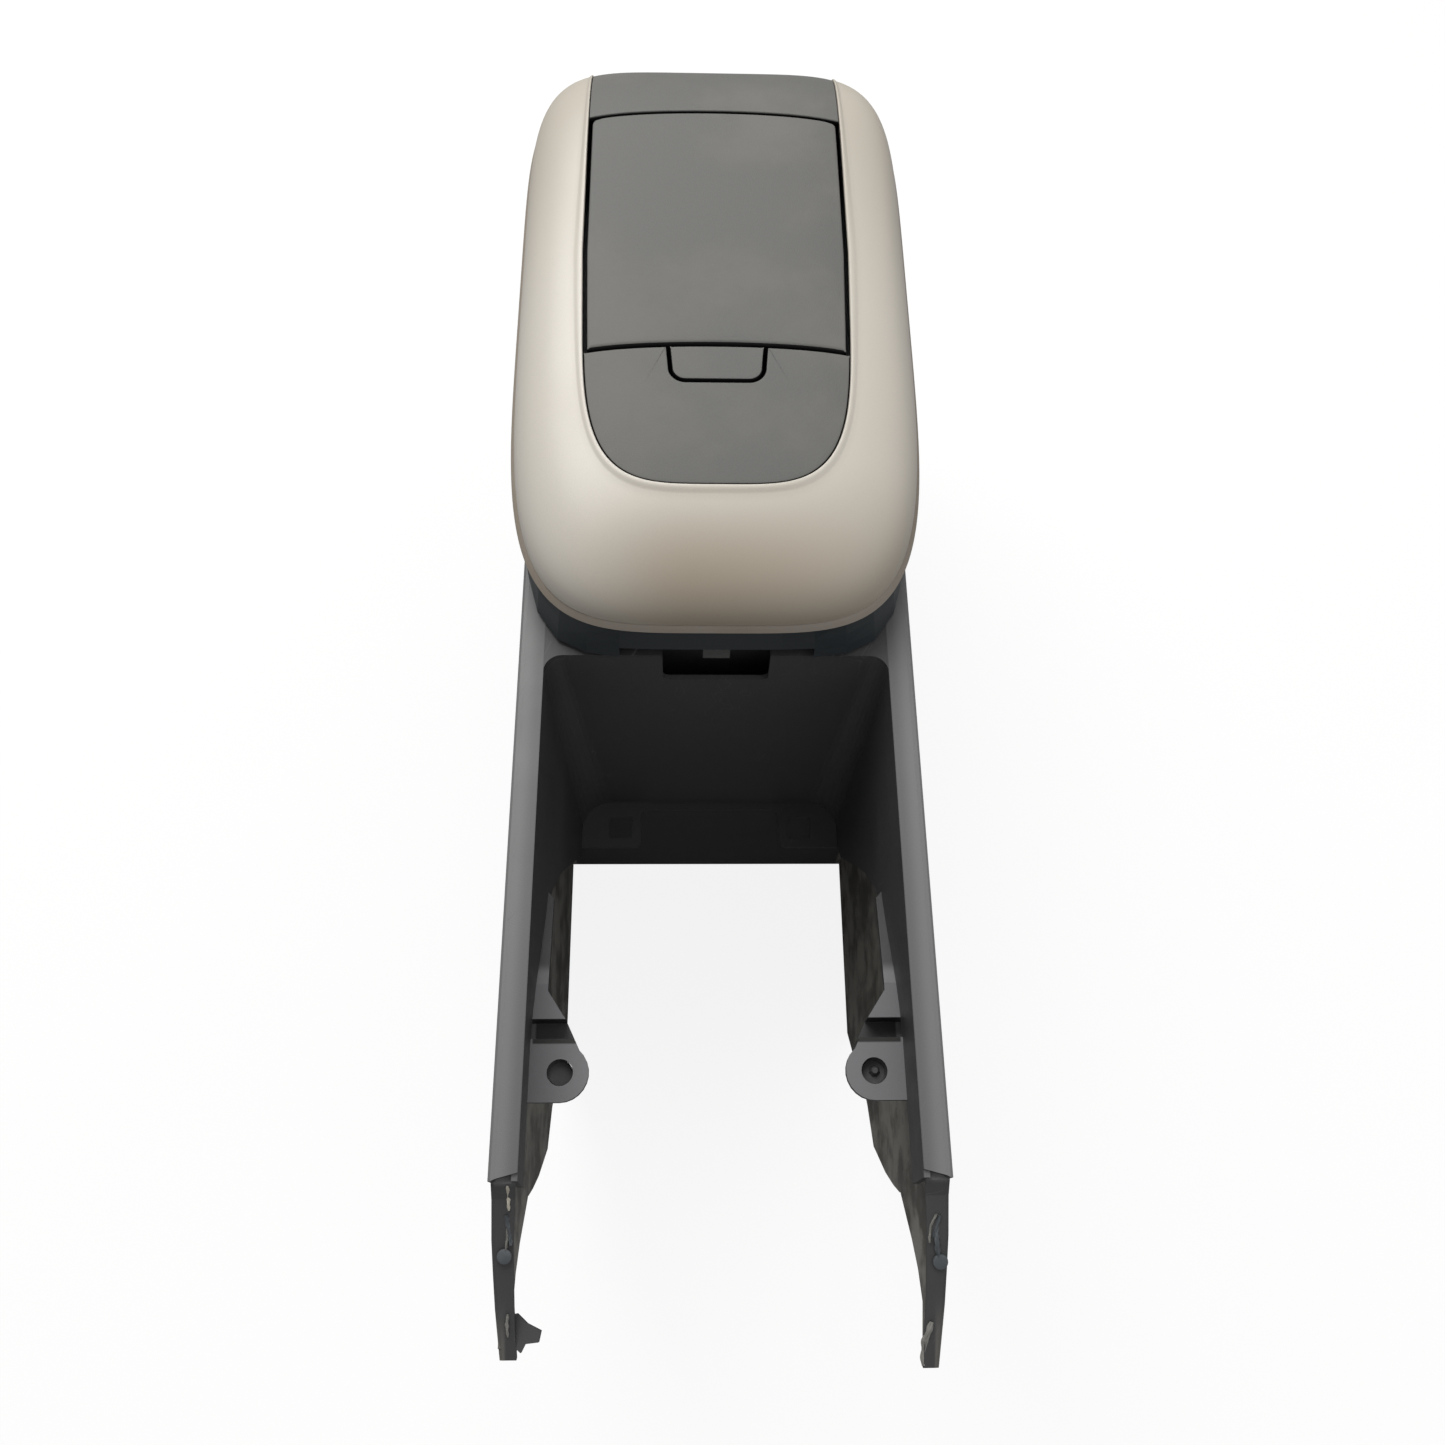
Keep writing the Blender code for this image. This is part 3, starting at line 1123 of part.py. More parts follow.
def lid_latch():
    """Lever with the tongue that shows in the slot, its pin and spring, and the keeper it hooks under."""
    front = SHELL_FRONT + SHELL_WALL + 0.0025
    tip = FLANGE_HEIGHT - 0.0070
    keeper_low = DECK_TOP - DECK_WALL - SEAT_GAP - HINGE_PLATE
    nose = keeper_low - 0.0005
    bend = FLANGE_HEIGHT + SHELL_NOTCH_TOP - 0.0005
    arm = [(front, tip), (front + 0.0026, tip), (front + 0.0031, nose - 0.0010), (front + 0.0031, nose),
           (front + 0.0022, nose + 0.0004), (front + 0.0022, bend - 0.0030),
           (LATCH_AXIS_Y + 0.001, bend - 0.0016),
           (LATCH_AXIS_Y + 0.0020, LATCH_AXIS_Z), (LATCH_AXIS_Y - 0.0020, LATCH_AXIS_Z),
           (LATCH_AXIS_Y - 0.0030, bend + 0.0012), (front + 0.0012, bend + 0.0002), (front, bend - 0.0012)]
    lever = plate("lid_latch_lever", [arm], -TONGUE_HALF, TONGUE_HALF, "YZ", LATCH_AXIS, GREY_TRIM)
    axis = (0, LATCH_AXIS_Y, LATCH_AXIS_Z)
    boss = cylinder("latch_boss", axis, 0.0032, TONGUE_HALF * 2 - 0.0002, "X", LATCH_AXIS)
    bore = cylinder("latch_bore", axis, 0.0018, TONGUE_HALF * 3, "X", LATCH_AXIS)
    boolean(lever, boss, "UNION")
    boolean(lever, bore, "DIFFERENCE")
    cylinder("latch_pin", axis, 0.0015, 0.0290, "X", LID_AXIS, STEEL, 16)
    beside = (TONGUE_HALF + 0.0020, LATCH_AXIS_Y, LATCH_AXIS_Z)
    coil("latch_spring", beside, 0.0022, 0.0003, 0.0024, 3, "X", LID_AXIS)
    keeper = box("latch_keeper", (-0.016, front + 0.0035, keeper_low),
                 (0.016, BIN_FRONT - 0.0006, keeper_low + HINGE_PLATE), CONSOLE, STEEL)
    return lever, keeper


def lid_stops():
    """Rubber stops on the console's top that the closed lid rests on."""
    low = FLANGE_HEIGHT + SEAT_GAP
    high = SHELL_FLOOR_Z - SEAT_GAP
    side = BIN_HALF + BIN_RIM + STOP_GAP
    for name, x in (("lid_stop_right", side), ("lid_stop_left", -side)):
        bm = bmesh.new()
        middle = (x, LID_CENTRE_Y - STOP_AHEAD, (low + high) / 2)
        add_cylinder(bm, middle, 0.0030, high - low, "Z", 20, 0.0022)
        add_object(name, mesh_from(bm, name), CONSOLE, RUBBER)


def coil(name, centre, radius, wire, length, turns, axis, parent):
    """Wound spring along an axis."""
    curve = bpy.data.curves.new(name, "CURVE")
    curve.dimensions = "3D"
    curve.bevel_depth = wire
    curve.bevel_resolution = 0
    curve.use_fill_caps = True
    spline = curve.splines.new("POLY")
    steps = turns * 10
    spline.points.add(steps)
    for k in range(steps + 1):
        angle = 2 * math.pi * k / 10
        along = length * (k / steps - 0.5)
        spline.points[k].co = (radius * math.cos(angle), radius * math.sin(angle), along, 1)
    guide = bpy.data.objects.new(name + "_curve", curve)
    bpy.context.scene.collection.objects.link(guide)
    graph = bpy.context.evaluated_depsgraph_get()
    mesh = bpy.data.meshes.new_from_object(guide.evaluated_get(graph))
    bm = bmesh.new()
    bm.from_mesh(mesh)
    bmesh.ops.remove_doubles(bm, verts=bm.verts, dist=1e-6)
    bpy.data.objects.remove(guide, do_unlink=True)
    bm.transform(Matrix.Translation(centre) @ TURNS[axis])
    return add_object(name, mesh_from(bm, name), parent, SPRING_STEEL)


console_body()
rear_cover()
storage_bin()
lid_stops()
lid_hinge()
lid_frame()
lid_lower_shell()
lid_tray()
front_panel()
door_button()
tray_door()
door_hinge()
rear_strip()
lid_latch()
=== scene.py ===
"""Looks of the rear console section with its hinged armrest lid.

Lengths are metres. Sizes are given in the console's own coordinates, whose Y
starts at the front end of the two flanges; SHIFT_Y takes them to the frame.
"""
from __future__ import annotations

import json
import logging
import math
from dataclasses import dataclass, field
from enum import Enum
from typing import Callable, Sequence

import bmesh
import bpy
from mathutils import Matrix, Vector

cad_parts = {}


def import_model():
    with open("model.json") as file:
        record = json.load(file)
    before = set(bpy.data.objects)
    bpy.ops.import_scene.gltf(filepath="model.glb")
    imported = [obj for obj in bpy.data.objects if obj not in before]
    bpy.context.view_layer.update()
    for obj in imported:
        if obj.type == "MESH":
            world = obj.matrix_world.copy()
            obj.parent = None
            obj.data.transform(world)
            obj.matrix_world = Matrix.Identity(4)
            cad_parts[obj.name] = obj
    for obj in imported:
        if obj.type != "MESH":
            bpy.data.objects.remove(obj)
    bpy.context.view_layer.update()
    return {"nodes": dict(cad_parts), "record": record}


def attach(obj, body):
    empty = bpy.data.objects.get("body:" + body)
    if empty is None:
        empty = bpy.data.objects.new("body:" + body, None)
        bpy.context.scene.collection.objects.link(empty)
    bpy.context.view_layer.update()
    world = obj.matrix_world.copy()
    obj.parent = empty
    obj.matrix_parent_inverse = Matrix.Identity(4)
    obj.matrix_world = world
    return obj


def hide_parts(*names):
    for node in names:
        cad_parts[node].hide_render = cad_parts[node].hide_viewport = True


LOG = logging.getLogger("scene")
SHIFT_Y = -0.24005
FLANGE = 0.262
COAT_ROUGHNESS = 0.25
HOLLOW_SHADE = 0.82
HOLLOW_SHARE = 0.5
SCUFF_SHARE = 0.6

Point = tuple[float, float]


class Body(Enum):
    """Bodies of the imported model."""

    CONSOLE = "console"
    LID = "lid"
    DOOR = "door"
    BUTTON = "button"
    LATCH = "latch"


class Slot(Enum):
    """Material slots of the record."""

    CONSOLE = "console_plastic"
    BEIGE = "satin_beige"
    TRIM = "grey_trim"
    LATCH = "latch_grey"
    SHELL = "dark_shell"
    STEEL = "zinc_steel"
    SPRING = "spring_steel"
    RUBBER = "stop_rubber"


# Shader node groups

class GroupBuilder:
    """Builds a shader node group and keeps it small to read."""

    def __init__(self, name: str, inputs: Sequence[tuple[str, float]], outputs: Sequence[str]) -> None:
        """Make an empty group.

        Args:
            name: The group's name.
            inputs: Name and first value of each number the group takes.
            outputs: Name of each number it gives.
        """
        self.tree = bpy.data.node_groups.new(name, "ShaderNodeTree")
        for socket, value in inputs:
            made = self.tree.interface.new_socket(socket, in_out="INPUT", socket_type="NodeSocketFloat")
            made.default_value = value
        for socket in outputs:
            self.tree.interface.new_socket(socket, in_out="OUTPUT", socket_type="NodeSocketFloat")
        self.entry = self.tree.nodes.new("NodeGroupInput")
        self.exit = self.tree.nodes.new("NodeGroupOutput")

    def node(self, kind: str, **settings: object) -> bpy.types.Node:
        """Add a node with some of its settings."""
        made = self.tree.nodes.new(kind)
        for key, value in settings.items():
            setattr(made, key, value)
        return made

    def link(self, source: bpy.types.NodeSocket, target: bpy.types.NodeSocket) -> None:
        """Join two sockets."""
        self.tree.links.new(source, target)

    def math(self, operation: str, first: object, second: object = 0.5) -> bpy.types.NodeSocket:
        """Add a Math node.

        Args:
            operation: The node's operation.
            first: A socket or a number.
            second: A socket or a number.

        Returns:
            The node's result.
        """
        made = self.node("ShaderNodeMath", operation=operation)
        for socket, value in zip(made.inputs, (first, second)):
            if isinstance(value, bpy.types.NodeSocket):
                self.link(value, socket)
            else:
                socket.default_value = value
        return made.outputs[0]


def grain_group() -> bpy.types.NodeTree:
    """Fine moulded grain: a height for a Bump node and a mask of its hollows.

    Returns:
        The node group, with Height and Hollow.
    """
    g = GroupBuilder("moulded_grain", [("Scale", 900.0), ("Softness", 0.5)], ["Height", "Hollow"])
    place = g.node("ShaderNodeTexCoord")
    cells = g.node("ShaderNodeTexVoronoi", feature="SMOOTH_F1")
    cells.inputs["Smoothness"].default_value = 0.6
    fine = g.node("ShaderNodeTexNoise")
    fine.inputs["Detail"].default_value = 3.0
    g.link(place.outputs["Object"], cells.inputs["Vector"])
    g.link(place.outputs["Object"], fine.inputs["Vector"])
    g.link(g.entry.outputs["Scale"], cells.inputs["Scale"])
    g.link(g.math("MULTIPLY", g.entry.outputs["Scale"], 1.7), fine.inputs["Scale"])
    blend = g.math("MULTIPLY", fine.outputs["Fac"], g.entry.outputs["Softness"])
    height = g.math("ADD", cells.outputs["Distance"], blend)
    g.link(height, g.exit.inputs["Height"])
    hollow = g.node("ShaderNodeMapRange")
    hollow.inputs["From Min"].default_value = 0.75
    hollow.inputs["From Max"].default_value = 0.35
    g.link(height, hollow.inputs["Value"])
    g.link(hollow.outputs["Result"], g.exit.inputs["Hollow"])
    return g.tree


def patch_group() -> bpy.types.NodeTree:
    """Soft patches of colour or gloss over a few centimetres.

    Returns:
        The node group, with Mask.
    """
    g = GroupBuilder("soft_patches", [("Scale", 14.0), ("Low", 0.42), ("High", 0.68)], ["Mask"])
    place = g.node("ShaderNodeTexCoord")
    noise = g.node("ShaderNodeTexNoise")
    noise.inputs["Detail"].default_value = 5.0
    noise.inputs["Roughness"].default_value = 0.6
    spread = g.node("ShaderNodeMapRange", interpolation_type="SMOOTHSTEP")
    g.link(place.outputs["Object"], noise.inputs["Vector"])
    g.link(g.entry.outputs["Scale"], noise.inputs["Scale"])
    g.link(noise.outputs["Fac"], spread.inputs["Value"])
    g.link(g.entry.outputs["Low"], spread.inputs["From Min"])
    g.link(g.entry.outputs["High"], spread.inputs["From Max"])
    g.link(spread.outputs["Result"], g.exit.inputs["Mask"])
    return g.tree


def scratch_group() -> bpy.types.NodeTree:
    """Sparse thin scuffs, drawn out along one direction.

    Returns:
        The node group, with Mask.
    """
    g = GroupBuilder("thin_scuffs", [("Scale", 60.0), ("Angle", 0.5), ("Amount", 0.03)], ["Mask"])
    place = g.node("ShaderNodeTexCoord")
    turn = g.node("ShaderNodeVectorRotate", rotation_type="Z_AXIS")
    stretch = g.node("ShaderNodeVectorMath", operation="MULTIPLY")
    stretch.inputs[1].default_value = (1.0, 0.06, 0.5)
    noise = g.node("ShaderNodeTexNoise")
    noise.inputs["Detail"].default_value = 2.0
    spots = g.node("ShaderNodeTexNoise")
    spots.inputs["Scale"].default_value = 22.0
    g.link(place.outputs["Object"], turn.inputs["Vector"])
    g.link(g.entry.outputs["Angle"], turn.inputs["Angle"])
    g.link(turn.outputs["Vector"], stretch.inputs[0])
    g.link(stretch.outputs["Vector"], noise.inputs["Vector"])
    g.link(g.entry.outputs["Scale"], noise.inputs["Scale"])
    g.link(place.outputs["Object"], spots.inputs["Vector"])
    off = g.math("ABSOLUTE", g.math("SUBTRACT", noise.outputs["Fac"], 0.5))
    line = g.math("LESS_THAN", off, g.math("MULTIPLY", g.entry.outputs["Amount"], 0.12))
    here = g.math("GREATER_THAN", spots.outputs["Fac"], 0.58)
    g.link(g.math("MULTIPLY", line, here), g.exit.inputs["Mask"])
    return g.tree


def ramp_group() -> bpy.types.NodeTree:
    """Smooth ramp of any value between two ends, such as a place along an axis.

    Returns:
        The node group, with Mask.
    """
    g = GroupBuilder("smooth_ramp", [("Value", 0.0), ("Start", 0.0), ("End", 1.0)], ["Mask"])
    spread = g.node("ShaderNodeMapRange", interpolation_type="SMOOTHSTEP")
    g.link(g.entry.outputs["Value"], spread.inputs["Value"])
    g.link(g.entry.outputs["Start"], spread.inputs["From Min"])
    g.link(g.entry.outputs["End"], spread.inputs["From Max"])
    g.link(spread.outputs["Result"], g.exit.inputs["Mask"])
    return g.tree


class Effect(Enum):
    """Shared effects, each a node group that is built once."""

    GRAIN = "moulded_grain"
    PATCHES = "soft_patches"
    SCUFFS = "thin_scuffs"
    RAMP = "smooth_ramp"


def build_effects() -> None:
    """Build each shared node group once."""
    grain_group()
    patch_group()
    scratch_group()
    ramp_group()


# Finishes

class Measure(Enum):
    """What a stain's ramp is measured along."""

    X = "x"
    Y = "y"
    Z = "z"
    WIDE = "distance from the middle plane"
    UP = "how far a face looks up"


@dataclass(frozen=True)
class Ramp:
    """Smooth change from nothing at start to all at end."""

    measure: Measure
    start: float
    end: float


@dataclass(frozen=True)
class StainAndPaintedLight:
    """A second colour that lies on a finish where all its ramps meet: some are real stains and dust, others
    painted shade, painted shadow and painted highlights.
    """

    colour: tuple[float, float, float]
    amount: float
    ramps: tuple[Ramp, ...]
    mottle_scale: float = 0.0


@dataclass(frozen=True)
class Finish:
    """One surface finish, from which a material is made."""

    name: str
    colour: tuple[float, float, float]
    roughness: float
    metallic: float = 0.0
    grain_scale: float = 900.0
    grain_depth: float = 0.0
    patch_colour: tuple[float, float, float] | None = None
    patch_scale: float = 14.0
    patch_amount: float = 0.5
    scuff_colour: tuple[float, float, float] | None = None
    scuff_amount: float = 0.03
    scuff_angle: float = 0.5
    gloss_swing: float = 0.08
    coat: float = 0.0
    specular: float = 0.5
    stains_and_painted_light: tuple[StainAndPaintedLight, ...] = ()

    def material(self) -> bpy.types.Material:
        """Make the material.

        Returns:
            A material whose Principled shader stands in the material itself.
        """
        made = bpy.data.materials.new(self.name)
        made.use_nodes = True
        tree = made.node_tree
        shader = tree.nodes["Principled BSDF"]
        shader.inputs["Metallic"].default_value = self.metallic
        shader.inputs["Specular IOR Level"].default_value = self.specular
        shader.inputs["Coat Weight"].default_value = self.coat
        shader.inputs["Coat Roughness"].default_value = COAT_ROUGHNESS

        def group(effect: Effect, **values: float) -> bpy.types.Node:
            """Add a shared effect with some of its values."""
            node = tree.nodes.new("ShaderNodeGroup")
            node.node_tree = bpy.data.node_groups[effect.value]
            for key, value in values.items():
                node.inputs[key].default_value = value
            return node

        def mix(factor: bpy.types.NodeSocket, first: object, second: object) -> bpy.types.NodeSocket:
            """Mix two colours.

            Args:
                factor: Share of the second colour.
                first: A socket or a colour.
                second: A socket or a colour.

            Returns:
                The mixed colour.
            """
            node = tree.nodes.new("ShaderNodeMix")
            node.data_type = "RGBA"
            tree.links.new(factor, node.inputs[0])
            for socket, value in ((node.inputs[6], first), (node.inputs[7], second)):
                if isinstance(value, bpy.types.NodeSocket):
                    tree.links.new(value, socket)
                else:
                    socket.default_value = (*value, 1.0)
            return node.outputs[2]

        def times(first: bpy.types.NodeSocket, second: bpy.types.NodeSocket | float) -> bpy.types.NodeSocket:
            """Multiply a value by a second one, a socket or a number."""
            node = tree.nodes.new("ShaderNodeMath")
            node.operation = "MULTIPLY"
            tree.links.new(first, node.inputs[0])
            if isinstance(second, bpy.types.NodeSocket):
                tree.links.new(second, node.inputs[1])
            else:
                node.inputs[1].default_value = second
            return node.outputs[0]

        def measured(measure: Measure) -> bpy.types.NodeSocket:
            """Give the value that a ramp is measured along.

            Args:
                measure: What is measured.

            Returns:
                The value's socket.
            """
            upward = measure is Measure.UP
            source = tree.nodes.new("ShaderNodeNewGeometry" if upward else "ShaderNodeTexCoord")
            parts = tree.nodes.new("ShaderNodeSeparateXYZ")
            tree.links.new(source.outputs["Normal" if upward else "Object"], parts.inputs[0])
            axis = {Measure.Y: "Y", Measure.Z: "Z", Measure.UP: "Z"}.get(measure, "X")
            if measure is not Measure.WIDE:
                return parts.outputs[axis]
            node = tree.nodes.new("ShaderNodeMath")
            node.operation = "ABSOLUTE"
            tree.links.new(parts.outputs[axis], node.inputs[0])
            return node.outputs[0]

        grain = group(Effect.GRAIN, Scale=self.grain_scale)
        dark = tuple(c * HOLLOW_SHADE for c in self.colour)
        colour = mix(times(grain.outputs["Hollow"], HOLLOW_SHARE), self.colour, dark)
        patches = group(Effect.PATCHES, Scale=self.patch_scale)
        if self.patch_colour:
            colour = mix(times(patches.outputs["Mask"], self.patch_amount), colour, self.patch_colour)
        # Each layer is a real stain or dust, or painted shade, painted shadow or painted highlight.
        for stain_and_light in self.stains_and_painted_light:
            amount: bpy.types.NodeSocket | None = None
            for ramp in stain_and_light.ramps:
                masked = group(Effect.RAMP, Start=ramp.start, End=ramp.end)
                tree.links.new(measured(ramp.measure), masked.inputs["Value"])
                mask = masked.outputs["Mask"]
                amount = times(mask, stain_and_light.amount) if amount is None else times(amount, mask)
            if stain_and_light.mottle_scale:
                mottle = group(Effect.PATCHES, Scale=stain_and_light.mottle_scale, Low=0.40, High=0.62)
                amount = times(amount, mottle.outputs["Mask"])
            colour = mix(amount, colour, stain_and_light.colour)
        if self.scuff_colour:
            scuffs = group(Effect.SCUFFS, Amount=self.scuff_amount, Angle=self.scuff_angle)
            colour = mix(times(scuffs.outputs["Mask"], SCUFF_SHARE), colour, self.scuff_colour)
        tree.links.new(colour, shader.inputs["Base Color"])
        gloss = tree.nodes.new("ShaderNodeMapRange")
        gloss.inputs["To Min"].default_value = self.roughness
        gloss.inputs["To Max"].default_value = min(1.0, self.roughness + self.gloss_swing)
        tree.links.new(patches.outputs["Mask"], gloss.inputs["Value"])
        tree.links.new(gloss.outputs["Result"], shader.inputs["Roughness"])
        if self.grain_depth:
            bump = tree.nodes.new("ShaderNodeBump")
            bump.inputs["Strength"].default_value = 1.0
            bump.inputs["Distance"].default_value = self.grain_depth
            tree.links.new(grain.outputs["Height"], bump.inputs["Height"])
            tree.links.new(bump.outputs["Normal"], shader.inputs["Normal"])
        return made


def y(place: float) -> float:
    """Frame coordinate of a place along the console."""
    return place + SHIFT_Y


# Painted light: flange tops are lighter where their faces look up.
PAINTED_LIGHT_ON_FLANGE_TOP = (Ramp(Measure.UP, 0.55, 0.9), Ramp(Measure.Z, 0.2575, 0.2600))
# Painted light on the upward-facing tops of the tabs.
PAINTED_LIGHT_ON_TAB_TOP = (
    Ramp(Measure.UP, 0.7, 0.95), Ramp(Measure.Y, y(0.092), y(0.086)), Ramp(Measure.Y, y(0.014), y(0.022)),
    Ramp(Measure.Z, 0.195, 0.205), Ramp(Measure.Z, 0.246, 0.240))
# Painted shadow: near-black band in the recess above each tab.
PAINTED_SHADOW_IN_TAB_RECESS = (
    Ramp(Measure.Y, y(0.0564), y(0.0572)), Ramp(Measure.WIDE, 0.0785, 0.0775),
    Ramp(Measure.Y, y(0.0675), y(0.0667)), Ramp(Measure.Z, 0.20, 0.21), Ramp(Measure.Z, 0.232, 0.2305))
INNER_SIDE = (
    Ramp(Measure.WIDE, 0.0806, 0.0820), Ramp(Measure.WIDE, 0.0858, 0.0850), Ramp(Measure.Z, 0.240, 0.222),
    Ramp(Measure.Y, y(0.30), y(0.25)))

BEIGE = Finish(
    "beige_satin_paint", (0.53, 0.50, 0.447), 0.38, grain_scale=2600.0, grain_depth=0.000004,
    patch_colour=(0.50, 0.46, 0.40), patch_scale=9.0, patch_amount=0.35, gloss_swing=0.10, coat=0.05,
    # Painted shade: the frame darkens towards its rear.
    stains_and_painted_light=(StainAndPaintedLight((0.40, 0.365, 0.31), 0.8, (Ramp(Measure.Y, y(0.36), y(0.50)),)),
            # Brownish tint with painted shade on the frame's front slope, strongest from the middle to the
            # right and fading out towards the left side.
            StainAndPaintedLight((0.28, 0.225, 0.16), 0.78,
                  (Ramp(Measure.Y, y(0.292), y(0.226)), Ramp(Measure.X, -0.085, -0.01))),
            # Painted shade: the right half of the frame is darker, as if the light came from the left.
            StainAndPaintedLight((0.46, 0.42, 0.36), 0.40, (Ramp(Measure.X, -0.01, 0.09),))))
# Darker copy of the beige paint for the near-vertical lip: painted shade.
LIP_PAINTED_SHADE = Finish(
    "beige_lip_painted_shade", (0.27, 0.23, 0.185), 0.42, grain_scale=2600.0, grain_depth=0.000004,
    patch_colour=(0.30, 0.27, 0.24), patch_scale=20.0, patch_amount=0.5)
TRIM = Finish(
    "grey_grained_trim", (0.112, 0.112, 0.107), 0.60, grain_scale=1500.0, grain_depth=0.00006,
    patch_colour=(0.145, 0.142, 0.132), patch_scale=13.0, patch_amount=0.8, gloss_swing=0.08,
    specular=0.32)
SHELL = Finish(
    "bluish_charcoal_shell", (0.020, 0.026, 0.030), 0.46, grain_scale=1800.0, grain_depth=0.00002,
    patch_colour=(0.030, 0.036, 0.038), patch_scale=16.0)
CONSOLE = Finish(
    "charcoal_moulding", (0.046, 0.046, 0.048), 0.46, grain_scale=1700.0, grain_depth=0.00003,
    patch_colour=(0.060, 0.060, 0.060), patch_scale=10.0, scuff_colour=(0.12, 0.12, 0.12),
    scuff_amount=0.010, gloss_swing=0.12, specular=0.42,
    # Painted light: two lighter bands on the upward-facing flange tops.
    stains_and_painted_light=(StainAndPaintedLight((0.105, 0.105, 0.107), 1.0, (Ramp(Measure.WIDE, 0.0757, 0.0766), *PAINTED_LIGHT_ON_FLANGE_TOP)),
            StainAndPaintedLight((0.155, 0.155, 0.157), 1.0, (Ramp(Measure.WIDE, 0.0770, 0.0835), *PAINTED_LIGHT_ON_FLANGE_TOP)),
            # Painted light on the tab tops.
            StainAndPaintedLight((0.190, 0.190, 0.198), 0.9, PAINTED_LIGHT_ON_TAB_TOP),
            # Painted shadow in the tab recesses.
            StainAndPaintedLight((0.014, 0.013, 0.012), 0.95, PAINTED_SHADOW_IN_TAB_RECESS),
            StainAndPaintedLight((0.270, 0.260, 0.235), 0.9, INNER_SIDE),
            StainAndPaintedLight((0.055, 0.050, 0.043), 0.85, INNER_SIDE, mottle_scale=42.0)))
GAP = Finish("gap_shadow", (0.006, 0.006, 0.006), 0.75, grain_scale=1200.0, grain_depth=0.00002,
             patch_colour=(0.010, 0.010, 0.010), patch_scale=30.0, specular=0.2)
SOCKET = Finish("tab_socket", (0.050, 0.050, 0.052), 0.6, grain_scale=1400.0, grain_depth=0.00003,
                patch_colour=(0.085, 0.085, 0.085), patch_scale=120.0)
CREAM = Finish("torn_cream_sliver", (0.46, 0.43, 0.36), 0.55, grain_scale=900.0, grain_depth=0.00004,
               patch_colour=(0.30, 0.27, 0.22), patch_scale=200.0)
# Light grey of torn plastic edges; the same finish also gives a painted highlight on the left clip.
TORN_EDGE_AND_PAINTED_GLINT = Finish("torn_plastic_edge_and_painted_glint", (0.24, 0.235, 0.215), 0.6, grain_scale=700.0, grain_depth=0.00006,
              patch_colour=(0.10, 0.10, 0.095), patch_scale=240.0)
CLIP = Finish("clip_blue_grey", (0.070, 0.078, 0.086), 0.42, grain_scale=1200.0, grain_depth=0.00003,
              patch_colour=(0.12, 0.13, 0.14), patch_scale=150.0)
STEEL = Finish("zinc_plate", (0.55, 0.56, 0.58), 0.34, 1.0, grain_scale=700.0, grain_depth=0.000004,
               patch_colour=(0.42, 0.42, 0.44), patch_scale=60.0)
SPRING = Finish("spring_wire", (0.36, 0.36, 0.38), 0.30, 1.0, grain_scale=900.0, grain_depth=0.000003,
                patch_colour=(0.25, 0.25, 0.27), patch_scale=80.0)
RUBBER = Finish("stop_rubber", (0.018, 0.018, 0.018), 0.82, grain_scale=1400.0, grain_depth=0.00004,
                patch_colour=(0.03, 0.03, 0.03), patch_scale=40.0)
LATCH = Finish("latch_grey", (0.085, 0.085, 0.083), 0.48, grain_scale=1600.0, grain_depth=0.00002,
               patch_colour=(0.12, 0.12, 0.115), patch_scale=50.0)

SLOT_FINISHES = {
    Slot.CONSOLE: CONSOLE, Slot.BEIGE: BEIGE, Slot.TRIM: TRIM, Slot.LATCH: LATCH,
    Slot.SHELL: SHELL, Slot.STEEL: STEEL, Slot.SPRING: SPRING, Slot.RUBBER: RUBBER,
}


# Shaping

def mapped_grid(columns: int, rows: int, place: Callable[[int, int], Sequence[float]]) -> bmesh.types.BMesh:
    """Bend a flat grid into a surface.

    Args:
        columns: Points along the grid.
        rows: Points across it.
        place: Gives the place of the point in a column and a row.

    Returns:
        The mesh of the bent grid.
    """
    bm = bmesh.new()
    bmesh.ops.create_grid(bm, x_segments=columns - 1, y_segments=rows - 1, size=0.5)
    for vert in bm.verts:
        column = round((vert.co.x + 0.5) * (columns - 1))
        row = round((vert.co.y + 0.5) * (rows - 1))
        vert.co = place(column, row)
    return bm


def resample(path: Sequence[Point], count: int) -> list[Point]:
    """Points at even steps along a path.

    Args:
        path: Points of the path.
        count: How many points to give.

    Returns:
        The new points, with both ends kept.
    """
    lengths = [0.0]
    for near, far in zip(path, path[1:]):
        lengths.append(lengths[-1] + math.dist(near, far))
    result: list[Point] = []
    index = 0
    for k in range(count):
        goal = lengths[-1] * k / (count - 1)
        while index < len(path) - 2 and lengths[index + 1] < goal:
            index += 1
        span = lengths[index + 1] - lengths[index]
        share = 0.0 if span == 0 else min(1.0, (goal - lengths[index]) / span)
        (ax, ay), (bx, by) = path[index], path[index + 1]
        result.append((ax + (bx - ax) * share, ay + (by - ay) * share))
    return result


def inward(path: Sequence[Point], index: int, side: float) -> Vector:
    """Unit normal of a path in plan.

    Args:
        path: Points of the path.
        index: Which point.
        side: +1 for the left of the path's run, -1 for its right.

    Returns:
        The normal.
    """
    near, far = path[max(index - 1, 0)], path[min(index + 1, len(path) - 1)]
    run = Vector((far[0] - near[0], far[1] - near[1]))
    normal = Vector((-run.y, run.x)) * side
    return normal.normalized() if normal.length > 0 else Vector((0.0, side))


